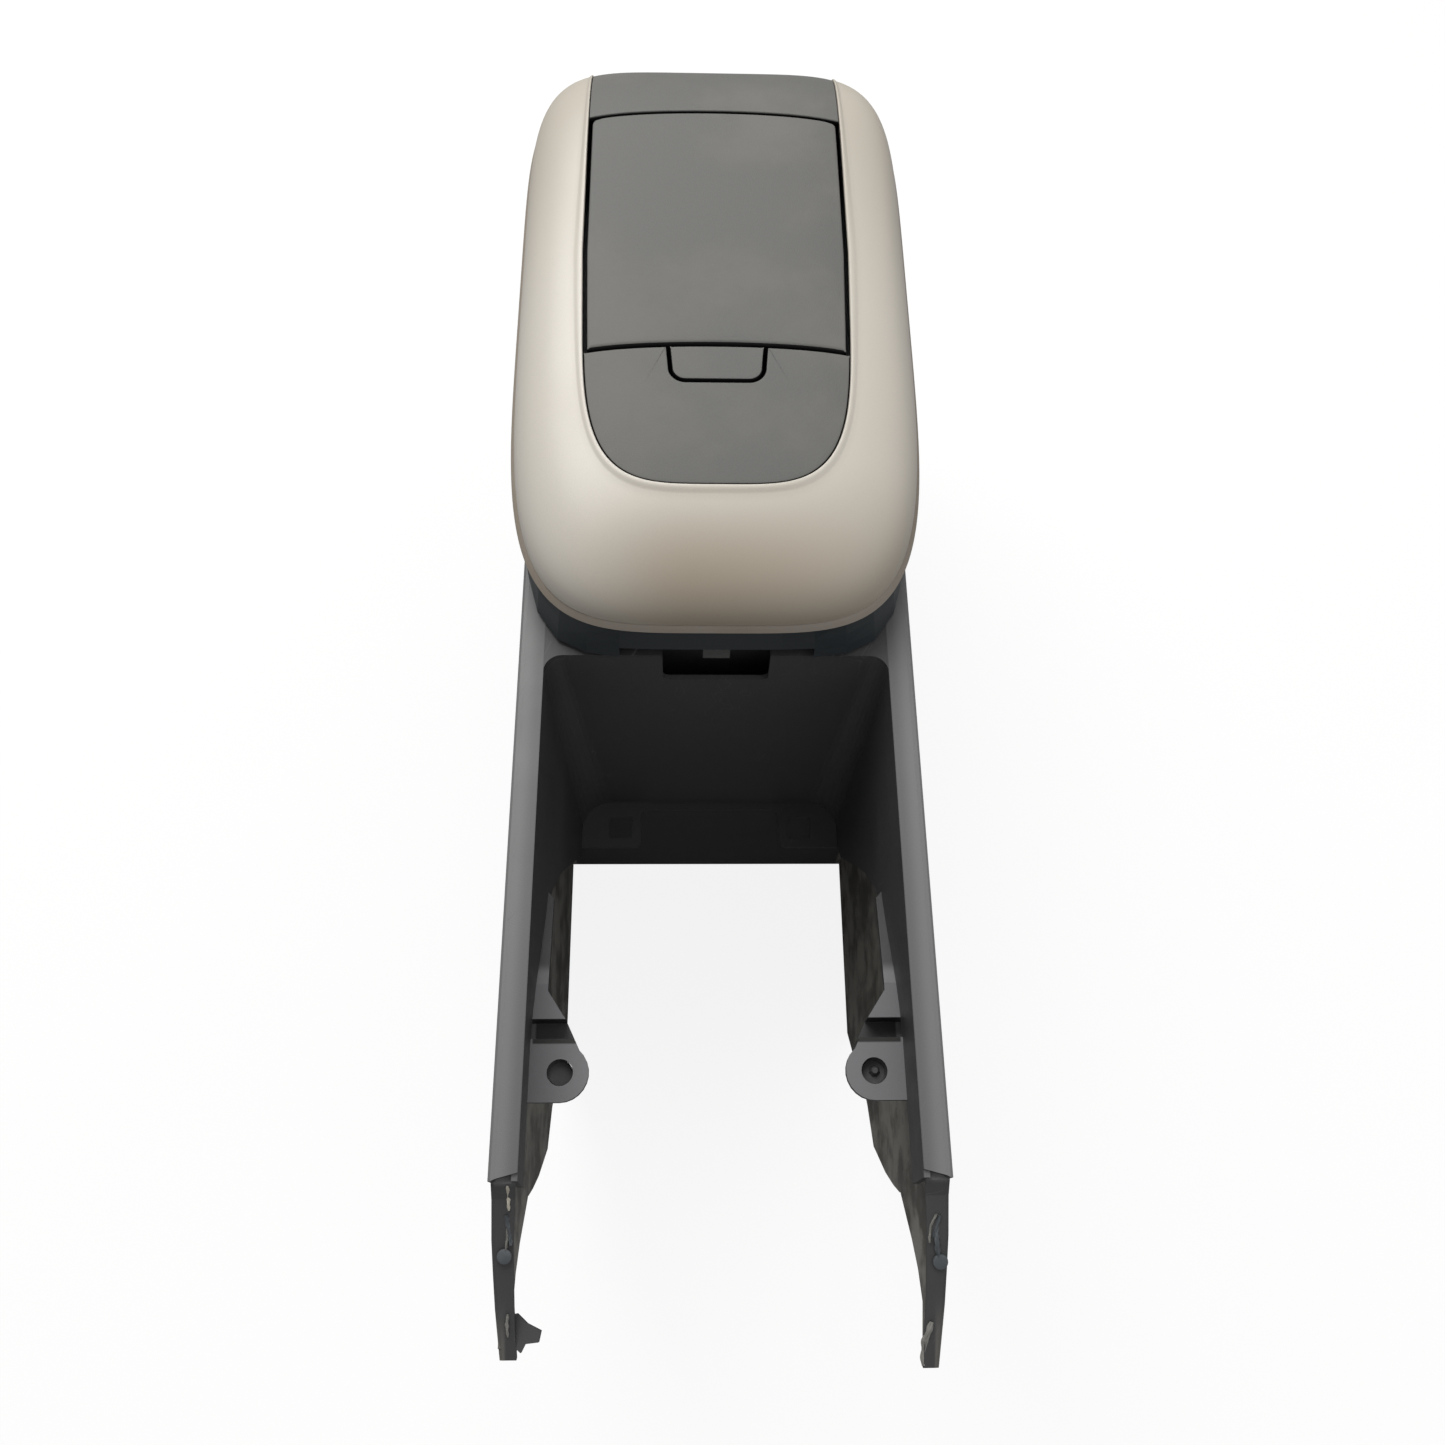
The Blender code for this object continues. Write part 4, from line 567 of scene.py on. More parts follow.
@dataclass
class Stagehand:
    """Turns meshes into pieces of the scene and keeps the finished materials."""

    materials: dict[str, bpy.types.Material] = field(default_factory=dict)

    def material(self, finish: Finish) -> bpy.types.Material:
        """Give the material of a finish, made on first use."""
        if finish.name not in self.materials:
            self.materials[finish.name] = finish.material()
        return self.materials[finish.name]

    def publish(self, bm: bmesh.types.BMesh, name: str, body: Body, slot: Slot, finishes: Sequence[Finish],
                replaces: Sequence[str] = (), sharp: float = 40.0, up: bool = True) -> bpy.types.Object:
        """Make a piece of a mesh and let it ride on its body.

        Args:
            bm: The mesh, in the console's coordinates. It is freed.
            name: The piece's name.
            body: The body it moves with.
            slot: The record's slot that its finish belongs to. It is not used.
            finishes: Its finishes, in the order of its faces' material numbers.
            replaces: CAD nodes that it stands for.
            sharp: Angle in degrees over which an edge stays sharp.
            up: Whether most of its faces look up.

        Returns:
            The piece.
        """
        bmesh.ops.remove_doubles(bm, verts=bm.verts, dist=1e-7)
        bmesh.ops.dissolve_degenerate(bm, edges=bm.edges, dist=1e-7)
        bmesh.ops.recalc_face_normals(bm, faces=bm.faces)
        if up and sum(f.normal.z * f.calc_area() for f in bm.faces) < 0:
            bmesh.ops.reverse_faces(bm, faces=bm.faces)
        bmesh.ops.translate(bm, verts=bm.verts, vec=(0.0, SHIFT_Y, 0.0))
        mesh = bpy.data.meshes.new(name)
        bm.to_mesh(mesh)
        bm.free()
        mesh.shade_smooth()
        mesh.set_sharp_from_angle(angle=math.radians(sharp))
        for finish in finishes:
            mesh.materials.append(self.material(finish))
        piece = bpy.data.objects.new(name, mesh)
        bpy.context.scene.collection.objects.link(piece)
        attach(piece, body.value)
        if replaces:
            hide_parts(*replaces)
        LOG.info("%s: %d faces on %s", name, len(mesh.polygons), body.value)
        return piece


# Lid

@dataclass
class LidForm:
    """Crowned superellipse of the lid, with its long opening."""

    centre: float = 0.3948
    half_width: float = 0.0921
    front_length: float = 0.1748
    rear_length: float = 0.1452
    front_power: float = 4.3
    rear_power: float = 5.5
    rise: float = 0.029
    crease: float = FLANGE + 0.025
    flare: float = 0.0020
    opening_half_width: float = 0.0575
    opening_spread: float = 0.0039
    opening_spread_run: float = 0.127
    opening_front: float = 0.273
    opening_round: float = 0.100
    opening_power: float = 4.1
    sink: float = 0.0002

    def side(self, behind: bool) -> tuple[float, float]:
        """Length and roundness of the lid behind or ahead of its centre."""
        return (self.rear_length, self.rear_power) if behind else (self.front_length, self.front_power)

    def rho(self, x: float, along: float) -> float:
        """Share of the way from the lid's centre to its crease."""
        length, power = self.side(along > self.centre)
        a = abs(x) / self.half_width
        b = abs(along - self.centre) / length
        return (a ** power + b ** power) ** (1 / power)

    def top(self, x: float, along: float) -> float:
        """Height of the crown over a place in plan."""
        return self.crease + self.rise * math.sqrt(max(0.0, 1 - min(self.rho(x, along), 1.0) ** 5))

    def rim(self, angle: float, grow: float = 0.0) -> Point:
        """Point of the crease, or of a line outside it, at an angle round the centre."""
        c, s = math.cos(angle), math.sin(angle)
        length, power = self.side(s > 0)
        across, along = abs(c / (self.half_width + grow)), abs(s / (length + grow))
        reach = (across ** power + along ** power) ** (-1 / power)
        return reach * c, self.centre + reach * s

    def rear_edge(self, x: float) -> float:
        """Place of the crease behind a place across the lid."""
        share = max(0.0, 1 - (abs(x) / self.half_width) ** self.rear_power)
        return self.centre + self.rear_length * share ** (1 / self.rear_power)

    def opening_half(self, along: float) -> float:
        """Half width of the frame's opening at a place along the lid."""
        share = min(1.0, max(0.0, (along - self.opening_front) / self.opening_spread_run))
        straight = self.opening_half_width + self.opening_spread * share
        centre = self.opening_front + self.opening_round
        if along >= centre:
            return straight
        depth = min(1.0, (centre - along) / self.opening_round)
        return straight * (1 - depth ** self.opening_power) ** (1 / self.opening_power)

    def opening_path(self, gap: float, start: float) -> list[Point]:
        """Edge of the opening, or of a line inside it.

        Args:
            gap: Distance inside the opening.
            start: Where the two long sides begin.

        Returns:
            Points from the right side round the front to the left side.
        """
        centre = self.opening_front + self.opening_round
        power = self.opening_power
        side: list[Point] = []
        first = 0.0
        if start > centre:
            side = [(self.opening_half(start + (centre - start) * k / 60) - gap,
                     start + (centre - start) * k / 60) for k in range(60)]
        else:
            first = math.asin(((centre - start) / (self.opening_round - gap)) ** (power / 2))
        for k in range(161):
            angle = first + (math.pi / 2 - first) * k / 160
            along = centre - (self.opening_round - gap) * math.sin(angle) ** (2 / power)
            share = min(1.0, (along - self.opening_front) / self.opening_spread_run)
            half = self.opening_half_width + self.opening_spread * share - gap
            side.append((half * max(0.0, math.cos(angle)) ** (2 / power), along))
        return side + [(-x, along) for x, along in reversed(side[:-1])]


@dataclass
class LidFrame:
    """Painted frame with its bead, crown, crease and bevelled lip."""

    form: LidForm
    stations: int = 361
    bead_width: float = 0.0046
    bead_height: float = 0.0008
    wall: float = 0.0050
    bead_share: float = 0.55
    lip_below: float = 0.0009
    wall_below: float = 0.0008
    wall_within: float = 0.96

    def bead(self, distance: float, width: float) -> float:
        """Height of the bead at a distance from the opening."""
        share = min(1.0, max(0.0, distance / width))
        return self.bead_height * math.sin(math.pi * min(1.0, 0.22 + 0.78 * share)) ** 0.9 * (1 - share ** 3)

    def build(self, hand: Stagehand) -> bpy.types.Object:
        """Build and dress the frame."""
        form = self.form
        start = form.rear_edge(form.opening_half(0.53)) - 0.0004
        path = resample(form.opening_path(0.0, start), self.stations)
        wall_rows = [(0.0, -self.wall), (0.0, -0.0012), (0.00006, -0.00050), (0.00022, -0.00018)]
        bead_shares = [0.10, 0.18, 0.27, 0.38, 0.5, 0.62, 0.74, 0.86, 1.0]
        crown = [1 - (1 - k / 26) ** 1.9 for k in range(1, 27)]
        lips = [(0.00005, 0.0004), (-0.00022, 0.0008), (-0.00022, 0.0011), (0.00040, 0.0014),
                (0.00110, 0.0024), (0.00170, 0.0034), (0.0020, 0.0039), (0.0019, 0.0040), (-0.0014, 0.0040)]
        rows = len(wall_rows) + len(bead_shares) + len(crown) + len(lips)

        def place(column: int, row: int) -> tuple[float, float, float]:
            """Place of a point: wall, bead, crown and lip follow each other outwards."""
            px, py = path[column]
            angle = math.atan2(py - form.centre, px)
            ox, oy = form.rim(angle)
            span = max(math.dist((px, py), (ox, oy)), 1e-6)
            width = min(self.bead_width, span * self.bead_share)
            ux, uy = (ox - px) / span, (oy - py) / span
            if row < len(wall_rows):
                out, drop = wall_rows[row]
                x, along = px + ux * out, py + uy * out
                return x, along, form.top(px, py) + drop + self.bead(0.0, width)
            row -= len(wall_rows)
            if row < len(bead_shares):
                out = bead_shares[row] * width
                x, along = px + ux * out, py + uy * out
                return x, along, form.top(x, along) + self.bead(out, width)
            row -= len(bead_shares)
            if row < len(crown):
                out = width + (span - width) * crown[row]
                x, along = px + ux * out, py + uy * out
                return x, along, form.top(x, along)
            grow, drop = lips[row - len(crown)]
            x, along = form.rim(angle, grow)
            return x, along, form.crease - drop

        bm = mapped_grid(self.stations, rows, place)
        # Lip faces take the darker beige with painted shade; faces deep in the opening's wall take the
        # painted gap shadow.
        for face in bm.faces:
            middle = face.calc_center_median()
            if middle.z < form.crease - self.lip_below:
                face.material_index = 1
            deep = middle.z < form.top(middle.x, middle.y) - self.wall_below
            if deep and form.rho(middle.x, middle.y) < self.wall_within:
                face.material_index = 2
        return hand.publish(bm, "frame_shell", Body.LID, Slot.BEIGE, (BEIGE, LIP_PAINTED_SHADE, GAP), ("lid_frame",), 35.0)


def shade_walls(bm: bmesh.types.BMesh, form: LidForm, below: float) -> None:
    """Give the faces that lie deep in a gap the second finish.

    Args:
        bm: Mesh of an insert.
        form: The lid's form.
        below: Depth under the crown from which a face counts as deep.
    """
    for face in bm.faces:
        middle = face.calc_center_median()
        if form.top(middle.x, middle.y) - form.sink - middle.z > below:
            face.material_index = 1


@dataclass
class Insert:
    """Grey piece of the lid's top between two edges, with rolled edges and side walls."""

    form: LidForm
    name: str
    node: str
    body: Body
    near: Sequence[Point]
    far: Sequence[Point]
    stations: int = 241
    roll: float = 0.0007
    near_roll: float = 0.0007
    wall: float = 0.0023
    near_wall: float = 0.0023
    inner_rows: int = 34
    dark_below: float = 0.00010

    def build(self, hand: Stagehand) -> bpy.types.Object:
        """Build and dress the piece."""
        form = self.form
        near, far = resample(self.near, self.stations), resample(self.far, self.stations)
        steps = 5
        arc = [(1 - math.cos(math.pi / 2 * k / steps), 1 - math.sin(math.pi / 2 * k / steps))
               for k in range(steps + 1)]
        spread = [k / self.inner_rows for k in range(1, self.inner_rows)]
        rows = 1 + len(arc) + len(spread) + len(arc) + 1

        def place(column: int, row: int) -> tuple[float, float, float]:
            """Place of a point: near wall, near roll, top, far roll and far wall."""
            a, b = Vector(near[column]), Vector(far[column])
            limit = 0.4 * (b - a).length
            ra, rb = min(self.near_roll, limit), min(self.roll, limit)
            na, nb = inward(near, column, -1.0), inward(far, column, 1.0)
            if row == 0:
                return a.x, a.y, form.top(a.x, a.y) - form.sink - self.near_wall
            if row == rows - 1:
                return b.x, b.y, form.top(b.x, b.y) - form.sink - self.wall
            if row <= len(arc):
                out, drop = arc[row - 1]
                p = a + na * (out * ra)
                return p.x, p.y, form.top(p.x, p.y) - form.sink - drop * ra
            if row >= rows - 1 - len(arc):
                out, drop = arc[rows - 2 - row]
                p = b + nb * (out * rb)
                return p.x, p.y, form.top(p.x, p.y) - form.sink - drop * rb
            share = spread[row - 1 - len(arc)]
            p = (a + na * ra).lerp(b + nb * rb, share)
            return p.x, p.y, form.top(p.x, p.y) - form.sink

        bm = mapped_grid(self.stations, rows, place)
        shade_walls(bm, form, self.dark_below)
        return hand.publish(bm, self.name, self.body, Slot.TRIM, (TRIM, GAP), (self.node,), 50.0)


@dataclass
class LidInserts:
    """Door, front panel, button and rear strip."""

    form: LidForm
    door_front: float = 0.3459
    door_rear: float = 0.4887
    front_bow: float = 0.0030
    rear_bow: float = 0.0040
    door_gap: float = 0.0021
    panel_gap: float = 0.0004
    front_gap: float = 0.0018
    rear_gap: float = 0.0019
    button_half: float = 0.0198
    button_length: float = 0.0178
    button_corner: float = 0.006
    button_gap: float = 0.0017
    button_roll: float = 0.0006
    door_corner: float = 0.003
    door_corner_room: float = 0.002
    door_roll: float = 0.0022
    door_wall: float = 0.0078
    door_dark_below: float = 0.0004
    strip_roll: float = 0.0006

    def bowed(self, x: float, along: float, bow: float) -> float:
        """Place of a bowed edge across the lid."""
        return along - bow * (x / self.form.opening_half_width) ** 2

    def line(self, start: float, end: float, along: float, bow: float, steps: int = 60) -> list[Point]:
        """Bowed edge from one place across the lid to another."""
        places = [start + (end - start) * k / steps for k in range(steps + 1)]
        return [(x, self.bowed(x, along, bow)) for x in places]

    def door(self) -> Insert:
        """The flap over the tray."""
        form = self.form
        front_half = form.opening_half(self.door_front) - self.door_gap
        near = self.line(front_half, -front_half, self.door_front, self.front_bow)
        rear_half = form.opening_half(self.door_rear) - self.door_gap
        side: list[Point] = []
        low = self.bowed(front_half, self.door_front, self.front_bow)
        r = self.door_corner
        high = self.bowed(rear_half, self.door_rear, self.rear_bow) - r
        for k in range(60):
            along = low + (high - low) * k / 60
            side.append((form.opening_half(along) - self.door_gap, along))
        for k in range(9):
            angle = math.pi / 2 * k / 8
            side.append((rear_half - r + r * math.cos(angle), high + r * math.sin(angle)))
        reach = rear_half - r - self.door_corner_room
        middle = self.line(reach, -reach, self.door_rear, self.rear_bow)
        far = side + middle + [(-x, along) for x, along in reversed(side)]
        return Insert(form, "door_skin", "tray_door", Body.DOOR, near, far, near_roll=self.door_roll,
                      near_wall=self.door_wall, dark_below=self.door_dark_below)

    def button_path(self, grow: float) -> list[Point]:
        """Sides and front of the button, or of its opening, from right to left."""
        rear = self.door_front - self.front_gap
        half, r = self.button_half + grow, self.button_corner + grow
        front = rear - self.button_length - grow
        taper = half + 0.0010
        right = [(taper, self.bowed(taper, rear, self.front_bow))]
        for k in range(13):
            angle = -math.pi / 2 * k / 12
            right.append((half - r + r * math.cos(angle), front + r + r * math.sin(angle)))
        return right + [(-x, along) for x, along in reversed(right)]

    def button(self) -> Insert:
        """The release button."""
        rear = self.door_front - self.front_gap
        near = self.button_path(0.0)
        far = self.line(near[0][0], near[-1][0], rear, self.front_bow)
        return Insert(self.form, "button_cap", "door_button", Body.BUTTON, near, far, 121, self.button_roll,
                      self.button_roll, inner_rows=16)

    def panel(self) -> Insert:
        """The fixed panel ahead of the door, round the button."""
        form = self.form
        rear = self.door_front - self.front_gap
        half = form.opening_half(rear) - self.panel_gap
        notch = self.button_path(self.button_gap)
        near = self.line(half, notch[0][0], rear, self.front_bow, 20) + notch[1:-1]
        near += self.line(notch[-1][0], -half, rear, self.front_bow, 20)
        far = form.opening_path(self.panel_gap, self.bowed(half, rear, self.front_bow))
        return Insert(form, "panel_skin", "front_panel", Body.LID, list(reversed(near)), list(reversed(far)),
                      361)

    def strip(self, hand: Stagehand) -> bpy.types.Object:
        """Build the strip behind the door, which runs over the lid's rear edge."""
        form = self.form
        line = self.door_rear + self.rear_gap
        columns = 121
        roll = self.strip_roll
        edge = [(0.0, 0.0023), (0.0, roll), (0.13 * roll, 0.5 * roll), (0.5 * roll, 0.13 * roll), (roll, 0.0)]
        spread = [1 - (1 - k / 28) ** 2.0 for k in range(1, 29)]
        lips = [0.0004, 0.0010, 0.0018, 0.0028]
        rows = len(edge) + len(spread) + len(lips)

        def place(column: int, row: int) -> tuple[float, float, float]:
            """Place of a point: front wall and roll, top, and the lip over the rear edge."""
            u = 2 * column / (columns - 1) - 1
            front = self.bowed(u * form.opening_half(line), line, self.rear_bow)
            drop = 0.0
            if row < len(edge):
                along, drop = front + edge[row][0], edge[row][1]
            else:
                share = spread[min(row - len(edge), len(spread) - 1)]
                x = u * (form.opening_half(line) - self.panel_gap)
                along = front + roll + (form.rear_edge(x) - front - roll) * share
            half = form.opening_half(along) - self.panel_gap
            side_drop = 0.0023 if column in (0, columns - 1) else 0.0
            x = half * max(-1.0, min(1.0, u * (columns - 1) / (columns - 3)))
            height = form.top(x, along) - form.sink - max(drop, side_drop)
            if row >= len(edge) + len(spread):
                height = form.crease - lips[row - len(edge) - len(spread)]
            return x, along, height

        bm = mapped_grid(columns, rows, place)
        for face in bm.faces:
            middle = face.calc_center_median()
            if middle.y < line + 0.001 and middle.z < form.top(middle.x, middle.y) - form.sink - roll:
                face.material_index = 1
        return hand.publish(bm, "strip_skin", Body.LID, Slot.TRIM, (TRIM, GAP), ("rear_strip",), 50.0)


# Console

@dataclass
class TabSocket:
    """Blind socket under the hole of a bracket tab."""

    reach: float = 0.066
    along: float = 0.045
    top: float = FLANGE - 0.0434
    radius: float = 0.0053
    lip_drop: float = 0.0008
    depth: float = 0.0055
    wall: float = 0.0005
    well_share: float = 0.7
    stub_base: float = 0.0026
    stub_tip: float = 0.0013
    stub_height: float = 0.0024
    stub_offset: Point = (0.0006, 0.0004)

    def build(self, hand: Stagehand, side: int, plugged: bool) -> bpy.types.Object:
        """Build and dress one socket.

        Args:
            hand: Keeper of the materials.
            side: +1 for the right tab, -1 for the left.
            plugged: Whether a broken stub stands in it.

        Returns:
            The piece.
        """
        bm = bmesh.new()
        place = Matrix.Translation((side * self.reach, self.along, self.top - self.lip_drop - self.depth / 2))
        bmesh.ops.create_cone(bm, cap_ends=True, segments=40, radius1=self.radius, radius2=self.radius,
                              depth=self.depth, matrix=place)
        mouth = max(bm.faces, key=lambda face: face.calc_center_median().z)
        bmesh.ops.inset_region(bm, faces=[mouth], thickness=self.wall)
        bmesh.ops.translate(bm, verts=mouth.verts, vec=(0.0, 0.0, -self.depth * self.well_share))
        if plugged:
            across, along = self.stub_offset
            stub = Matrix.Translation((side * self.reach + across, self.along + along,
                                       self.top - self.lip_drop - self.depth * 0.5))
            bmesh.ops.create_cone(bm, cap_ends=True, segments=7, radius1=self.stub_base,
                                  radius2=self.stub_tip, depth=self.stub_height, matrix=stub)
        name = "tab_socket_right" if side > 0 else "tab_socket_left"
        return hand.publish(bm, name, Body.CONSOLE, Slot.CONSOLE, (SOCKET,), (), 40.0, False)


@dataclass
class BrokenArms:
    """Torn slivers, clips and bosses left on the two front arms, and a light strip that is a painted
    highlight on the left clip.
    """

    knots: tuple[Point, ...] = ((-0.066, 0.0335), (-0.044, 0.0242), (-0.020, 0.0140), (-0.006, 0.0078),
                                (-0.0007, 0.0032))
    columns: int = 25
    rows: int = 7
    skin: float = 0.0002
    boss_lean: float = 24.0
    boss_height: float = 0.0012
    boss_bevel: float = 0.0003

    def arm_top(self, along: float) -> float:
        """Height of an arm's upper edge at a place along it."""
        places = self.knots
        if along >= places[-1][0]:
            return FLANGE - places[-1][1]
        for (a, low), (b, high) in zip(places, places[1:]):
            if along <= b:
                share = max(0.0, (along - a) / (b - a))
                return FLANGE - (low + (high - low) * share * share * (3 - 2 * share))
        return FLANGE

    def blade(self, hand: Stagehand, name: str, route: Sequence[Point], width: float, rise: float,
              finish: Finish) -> bpy.types.Object:
        """Build a raised torn strip along a route on an arm.

        Args:
            hand: Keeper of the materials.
            name: Name of the piece.
            route: Points of its middle line in plan.
            width: Its greatest width.
            rise: How far it stands up.
            finish: Its finish.

        Returns:
            The piece.
        """
        line = resample(route, self.columns)

        def place(column: int, row: int) -> tuple[float, float, float]:
            """Place of a point on the strip, which swells and lifts unevenly along its run."""
            x, along = line[column]
            normal = inward(line, column, 1.0)
            share = column / (self.columns - 1)
            half = 0.5 * width * (0.35 + 0.65 * math.sin(math.pi * min(1.0, 0.12 + 0.8 * share)))
            half *= 1 + 0.25 * math.sin(17 * share + 3 * row)
            across = (row / (self.rows - 1) - 0.5) * 2
            lift = rise * (1 - abs(across) ** 3) * (1 + 0.3 * math.sin(11 * share + 1.7 * row)) - 0.0003
            return x + normal.x * half * across, along + normal.y * half * across, self.arm_top(along) + lift

        bm = mapped_grid(self.columns, self.rows, place)
        bmesh.ops.solidify(bm, geom=bm.faces[:], thickness=-self.skin)
        return hand.publish(bm, name, Body.CONSOLE, Slot.CONSOLE, (finish,), (), 30.0)

    def boss(self, hand: Stagehand, name: str, x: float, along: float, radius: float) -> bpy.types.Object:
        """Build a low round boss on an arm.

        Args:
            hand: Keeper of the materials.
            name: Name of the piece.
            x: Its place across the console.
            along: Its place along the console.
            radius: Its radius at the foot.

        Returns:
            The piece.
        """
        bm = bmesh.new()
        lean = Matrix.Rotation(math.radians(self.boss_lean), 4, "X")
        place = Matrix.Translation((x, along, self.arm_top(along) + 0.0002)) @ lean
        bmesh.ops.create_cone(bm, cap_ends=True, segments=32, radius1=radius, radius2=radius * 0.94,
                              depth=self.boss_height, matrix=place)
        rim = [edge for edge in bm.edges if edge.calc_face_angle(0.0) > 1.0]
        bmesh.ops.bevel(bm, geom=rim, offset=self.boss_bevel, segments=2, profile=0.5, affect="EDGES",
                          material=-1)
        return hand.publish(bm, name, Body.CONSOLE, Slot.CONSOLE, (CLIP,), (), 30.0, False)

    def build(self, hand: Stagehand) -> None:
        """Build all that is left on the two arms."""
        self.blade(hand, "left_cream_sliver", ((-0.0800, -0.0015), (-0.0799, -0.0060), (-0.0797, -0.0100)),
                   0.0014, 0.0005, CREAM)
        self.blade(hand, "left_clip_inner", ((-0.0806, -0.0115), (-0.0799, -0.0165), (-0.0790, -0.0220)),
                   0.0022, 0.0009, CLIP)
        # Painted highlight: a light raised strip stands for a glint on the left clip.
        self.blade(hand, "left_clip_painted_glint", ((-0.0806, -0.0160), (-0.0803, -0.0200), (-0.0808, -0.0235)),
                   0.0011, 0.0012, TORN_EDGE_AND_PAINTED_GLINT)
        self.boss(hand, "left_boss", -0.0813, -0.0258, 0.0029)
        self.blade(hand, "left_torn_edge", ((-0.0800, -0.0455), (-0.0803, -0.0490), (-0.0800, -0.0535)),
                   0.0012, 0.0007, TORN_EDGE_AND_PAINTED_GLINT)
        self.blade(hand, "right_clip_outer", ((0.0816, -0.0125), (0.0793, -0.0165), (0.0788, -0.0225)),
                   0.0012, 0.0010, TORN_EDGE_AND_PAINTED_GLINT)
        self.blade(hand, "right_clip_inner", ((0.0828, -0.0130), (0.0812, -0.0190), (0.0822, -0.0270)),
                   0.0024, 0.0011, CLIP)
        self.boss(hand, "right_boss", 0.0830, -0.0292, 0.0030)
        self.blade(hand, "right_torn_edge", ((0.0797, -0.0500), (0.0775, -0.0560), (0.0768, -0.0610),
                                             (0.0766, -0.0652)), 0.0026, 0.0008, TORN_EDGE_AND_PAINTED_GLINT)


# Stage

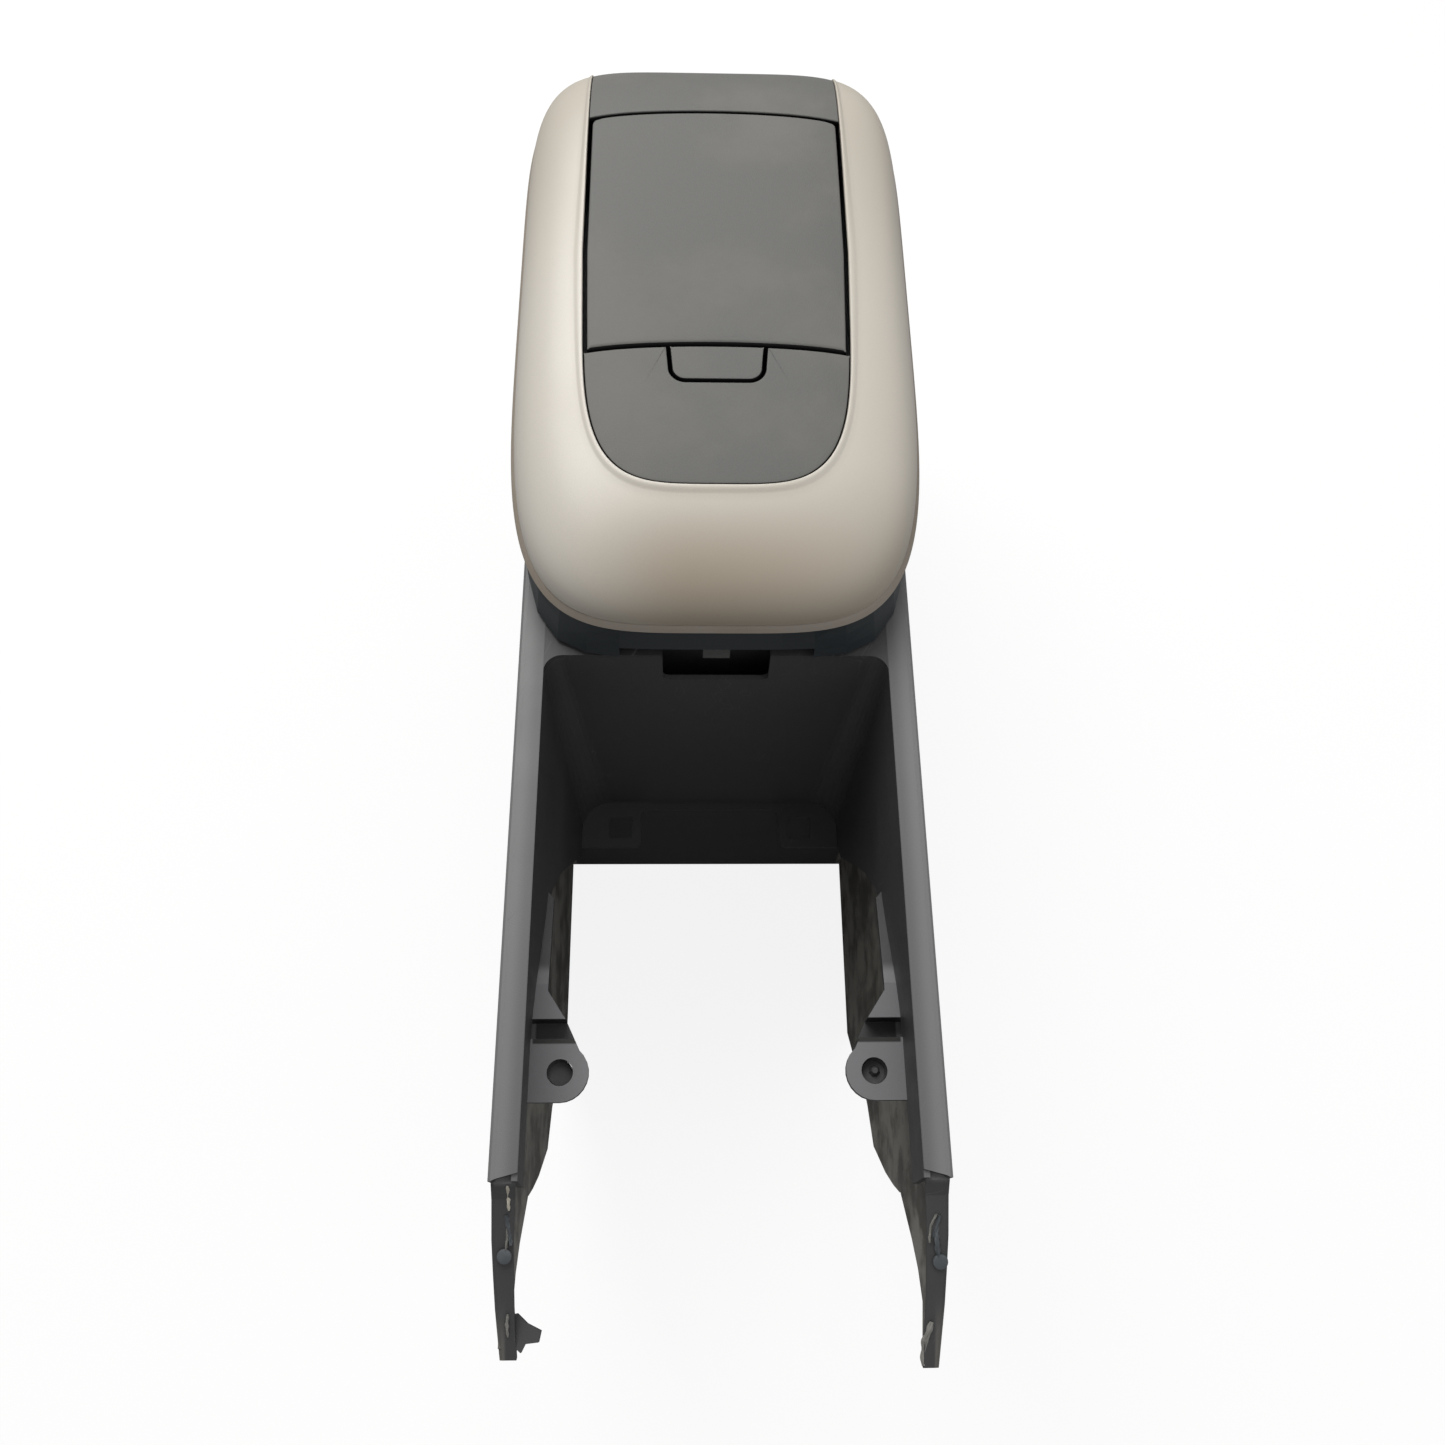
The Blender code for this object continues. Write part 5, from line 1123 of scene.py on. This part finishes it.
@dataclass
class Studio:
    """Camera at the photograph's angle, pale floor and soft light."""

    focal_px: float = 1250.0
    image_px: float = 1445.0
    eye: tuple[float, float, float] = (-0.0143, -0.0290, 0.4955)
    pitch: float = 66.52
    yaw: float = 4.18
    roll: float = -3.93
    shift: float = 0.0014
    floor_bounce: float = 0.30
    floor_white: float = 0.87
    sky: float = 0.44
    floor_colour: float = 0.95

    def camera(self) -> None:
        """Place the camera."""
        data = bpy.data.cameras.new("camera")
        data.sensor_width = 36.0
        data.lens = 36.0 * self.focal_px / self.image_px
        data.shift_x = self.shift
        data.clip_start = 0.01
        p, w, r = (math.radians(v) for v in (self.pitch, self.yaw, self.roll))
        forward = Vector((math.sin(w) * math.cos(p), math.cos(w) * math.cos(p), -math.sin(p)))
        right = Vector((math.cos(w), -math.sin(w), 0.0))
        down = forward.cross(right)
        right_turned = right * math.cos(r) + down * math.sin(r)
        down_turned = down * math.cos(r) - right * math.sin(r)
        turn = Matrix((right_turned, -down_turned, -forward)).transposed().to_4x4()
        made = bpy.data.objects.new("camera", data)
        place = Vector((self.eye[0], self.eye[1] + SHIFT_Y, self.eye[2] + FLANGE))
        made.matrix_world = Matrix.Translation(place) @ turn
        bpy.context.scene.collection.objects.link(made)
        bpy.context.scene.camera = made

    def light(self, name: str, place: Sequence[float], aim: Sequence[float], size: float, power: float,
              colour: tuple[float, float, float] = (1.0, 1.0, 1.0)) -> None:
        """Add a square soft lamp.

        Args:
            name: Its name.
            place: Where it hangs.
            aim: What it looks at.
            size: Length of its side.
            power: Watts.
            colour: Its colour.
        """
        data = bpy.data.lights.new(name, "AREA")
        data.shape = "SQUARE"
        data.size = size
        data.energy = power
        data.color = colour
        made = bpy.data.objects.new(name, data)
        made.location = place
        made.rotation_euler = (Vector(aim) - Vector(place)).to_track_quat("-Z", "Y").to_euler()
        bpy.context.scene.collection.objects.link(made)

    def floor(self) -> None:
        """Lay the floor."""
        bm = bmesh.new()
        bmesh.ops.create_grid(bm, x_segments=2, y_segments=2, size=6.0)
        mesh = bpy.data.meshes.new("floor")
        bm.to_mesh(mesh)
        bm.free()
        made = bpy.data.materials.new("floor_white")
        made.use_nodes = True
        tree = made.node_tree
        shader = tree.nodes["Principled BSDF"]
        shader.inputs["Roughness"].default_value = 1.0
        shader.inputs["Specular IOR Level"].default_value = 0.0
        seen = tree.nodes.new("ShaderNodeLightPath").outputs["Is Camera Ray"]
        tint = tree.nodes.new("ShaderNodeMix")
        tint.data_type = "RGBA"
        tint.inputs[6].default_value = (self.floor_bounce, self.floor_bounce, self.floor_bounce, 1.0)
        tint.inputs[7].default_value = (self.floor_colour, self.floor_colour, self.floor_colour, 1.0)
        tree.links.new(seen, tint.inputs[0])
        tree.links.new(tint.outputs[2], shader.inputs["Base Color"])
        white = tree.nodes.new("ShaderNodeEmission")
        share = tree.nodes.new("ShaderNodeMath")
        share.operation = "MULTIPLY"
        share.inputs[1].default_value = self.floor_white
        blend = tree.nodes.new("ShaderNodeMixShader")
        tree.links.new(seen, share.inputs[0])
        tree.links.new(share.outputs[0], blend.inputs[0])
        tree.links.new(shader.outputs["BSDF"], blend.inputs[1])
        tree.links.new(white.outputs["Emission"], blend.inputs[2])
        tree.links.new(blend.outputs["Shader"], tree.nodes["Material Output"].inputs["Surface"])
        mesh.materials.append(made)
        floor = bpy.data.objects.new("floor", mesh)
        floor.location = (0.0, 0.0, -0.0005)
        bpy.context.scene.collection.objects.link(floor)

    def build(self) -> None:
        """Set the stage."""
        scene = bpy.context.scene
        scene.view_settings.view_transform = "Standard"
        self.camera()
        self.floor()
        world = bpy.data.worlds.new("studio")
        world.use_nodes = True
        nodes, links = world.node_tree.nodes, world.node_tree.links
        background = nodes["Background"]
        background.inputs["Color"].default_value = (1.0, 1.0, 1.0, 1.0)
        background.inputs["Strength"].default_value = self.sky
        white = nodes.new("ShaderNodeBackground")
        white.inputs["Color"].default_value = (1.0, 1.0, 1.0, 1.0)
        blend = nodes.new("ShaderNodeMixShader")
        links.new(nodes.new("ShaderNodeLightPath").outputs["Is Camera Ray"], blend.inputs[0])
        links.new(background.outputs["Background"], blend.inputs[1])
        links.new(white.outputs["Background"], blend.inputs[2])
        links.new(blend.outputs["Shader"], nodes["World Output"].inputs["Surface"])
        scene.world = world
        self.light("key", (-0.38, 1.0, 1.5), (0.0, 0.05, 0.25), 1.2, 27.0, (1.0, 0.99, 0.97))
        self.light("fill", (0.9, -0.2, 1.4), (0.0, 0.0, 0.2), 1.4, 4.0)


def dress_nodes(hand: Stagehand, nodes: dict[str, bpy.types.Object], record: dict) -> None:
    """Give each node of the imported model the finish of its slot.

    Args:
        hand: Keeper of the materials.
        nodes: Nodes by name.
        record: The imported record.
    """
    slots = {entry["node"]: entry["material_slot"] for entry in record["subparts"]}
    for name, node in nodes.items():
        material = hand.material(SLOT_FINISHES[Slot(slots[name])])
        if node.material_slots:
            for place in node.material_slots:
                place.material = material
        else:
            node.data.materials.append(material)


def main() -> None:
    """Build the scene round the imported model."""
    logging.basicConfig(level=logging.INFO, format="%(message)s")
    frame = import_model()
    build_effects()
    hand = Stagehand()
    dress_nodes(hand, frame["nodes"], frame["record"])
    form = LidForm()
    LidFrame(form).build(hand)
    inserts = LidInserts(form)
    for insert in (inserts.door(), inserts.button(), inserts.panel()):
        insert.build(hand)
    inserts.strip(hand)
    sockets = TabSocket()
    sockets.build(hand, 1, True)
    sockets.build(hand, -1, False)
    BrokenArms().build(hand)
    Studio().build()


if __name__ == "__main__":
    main()
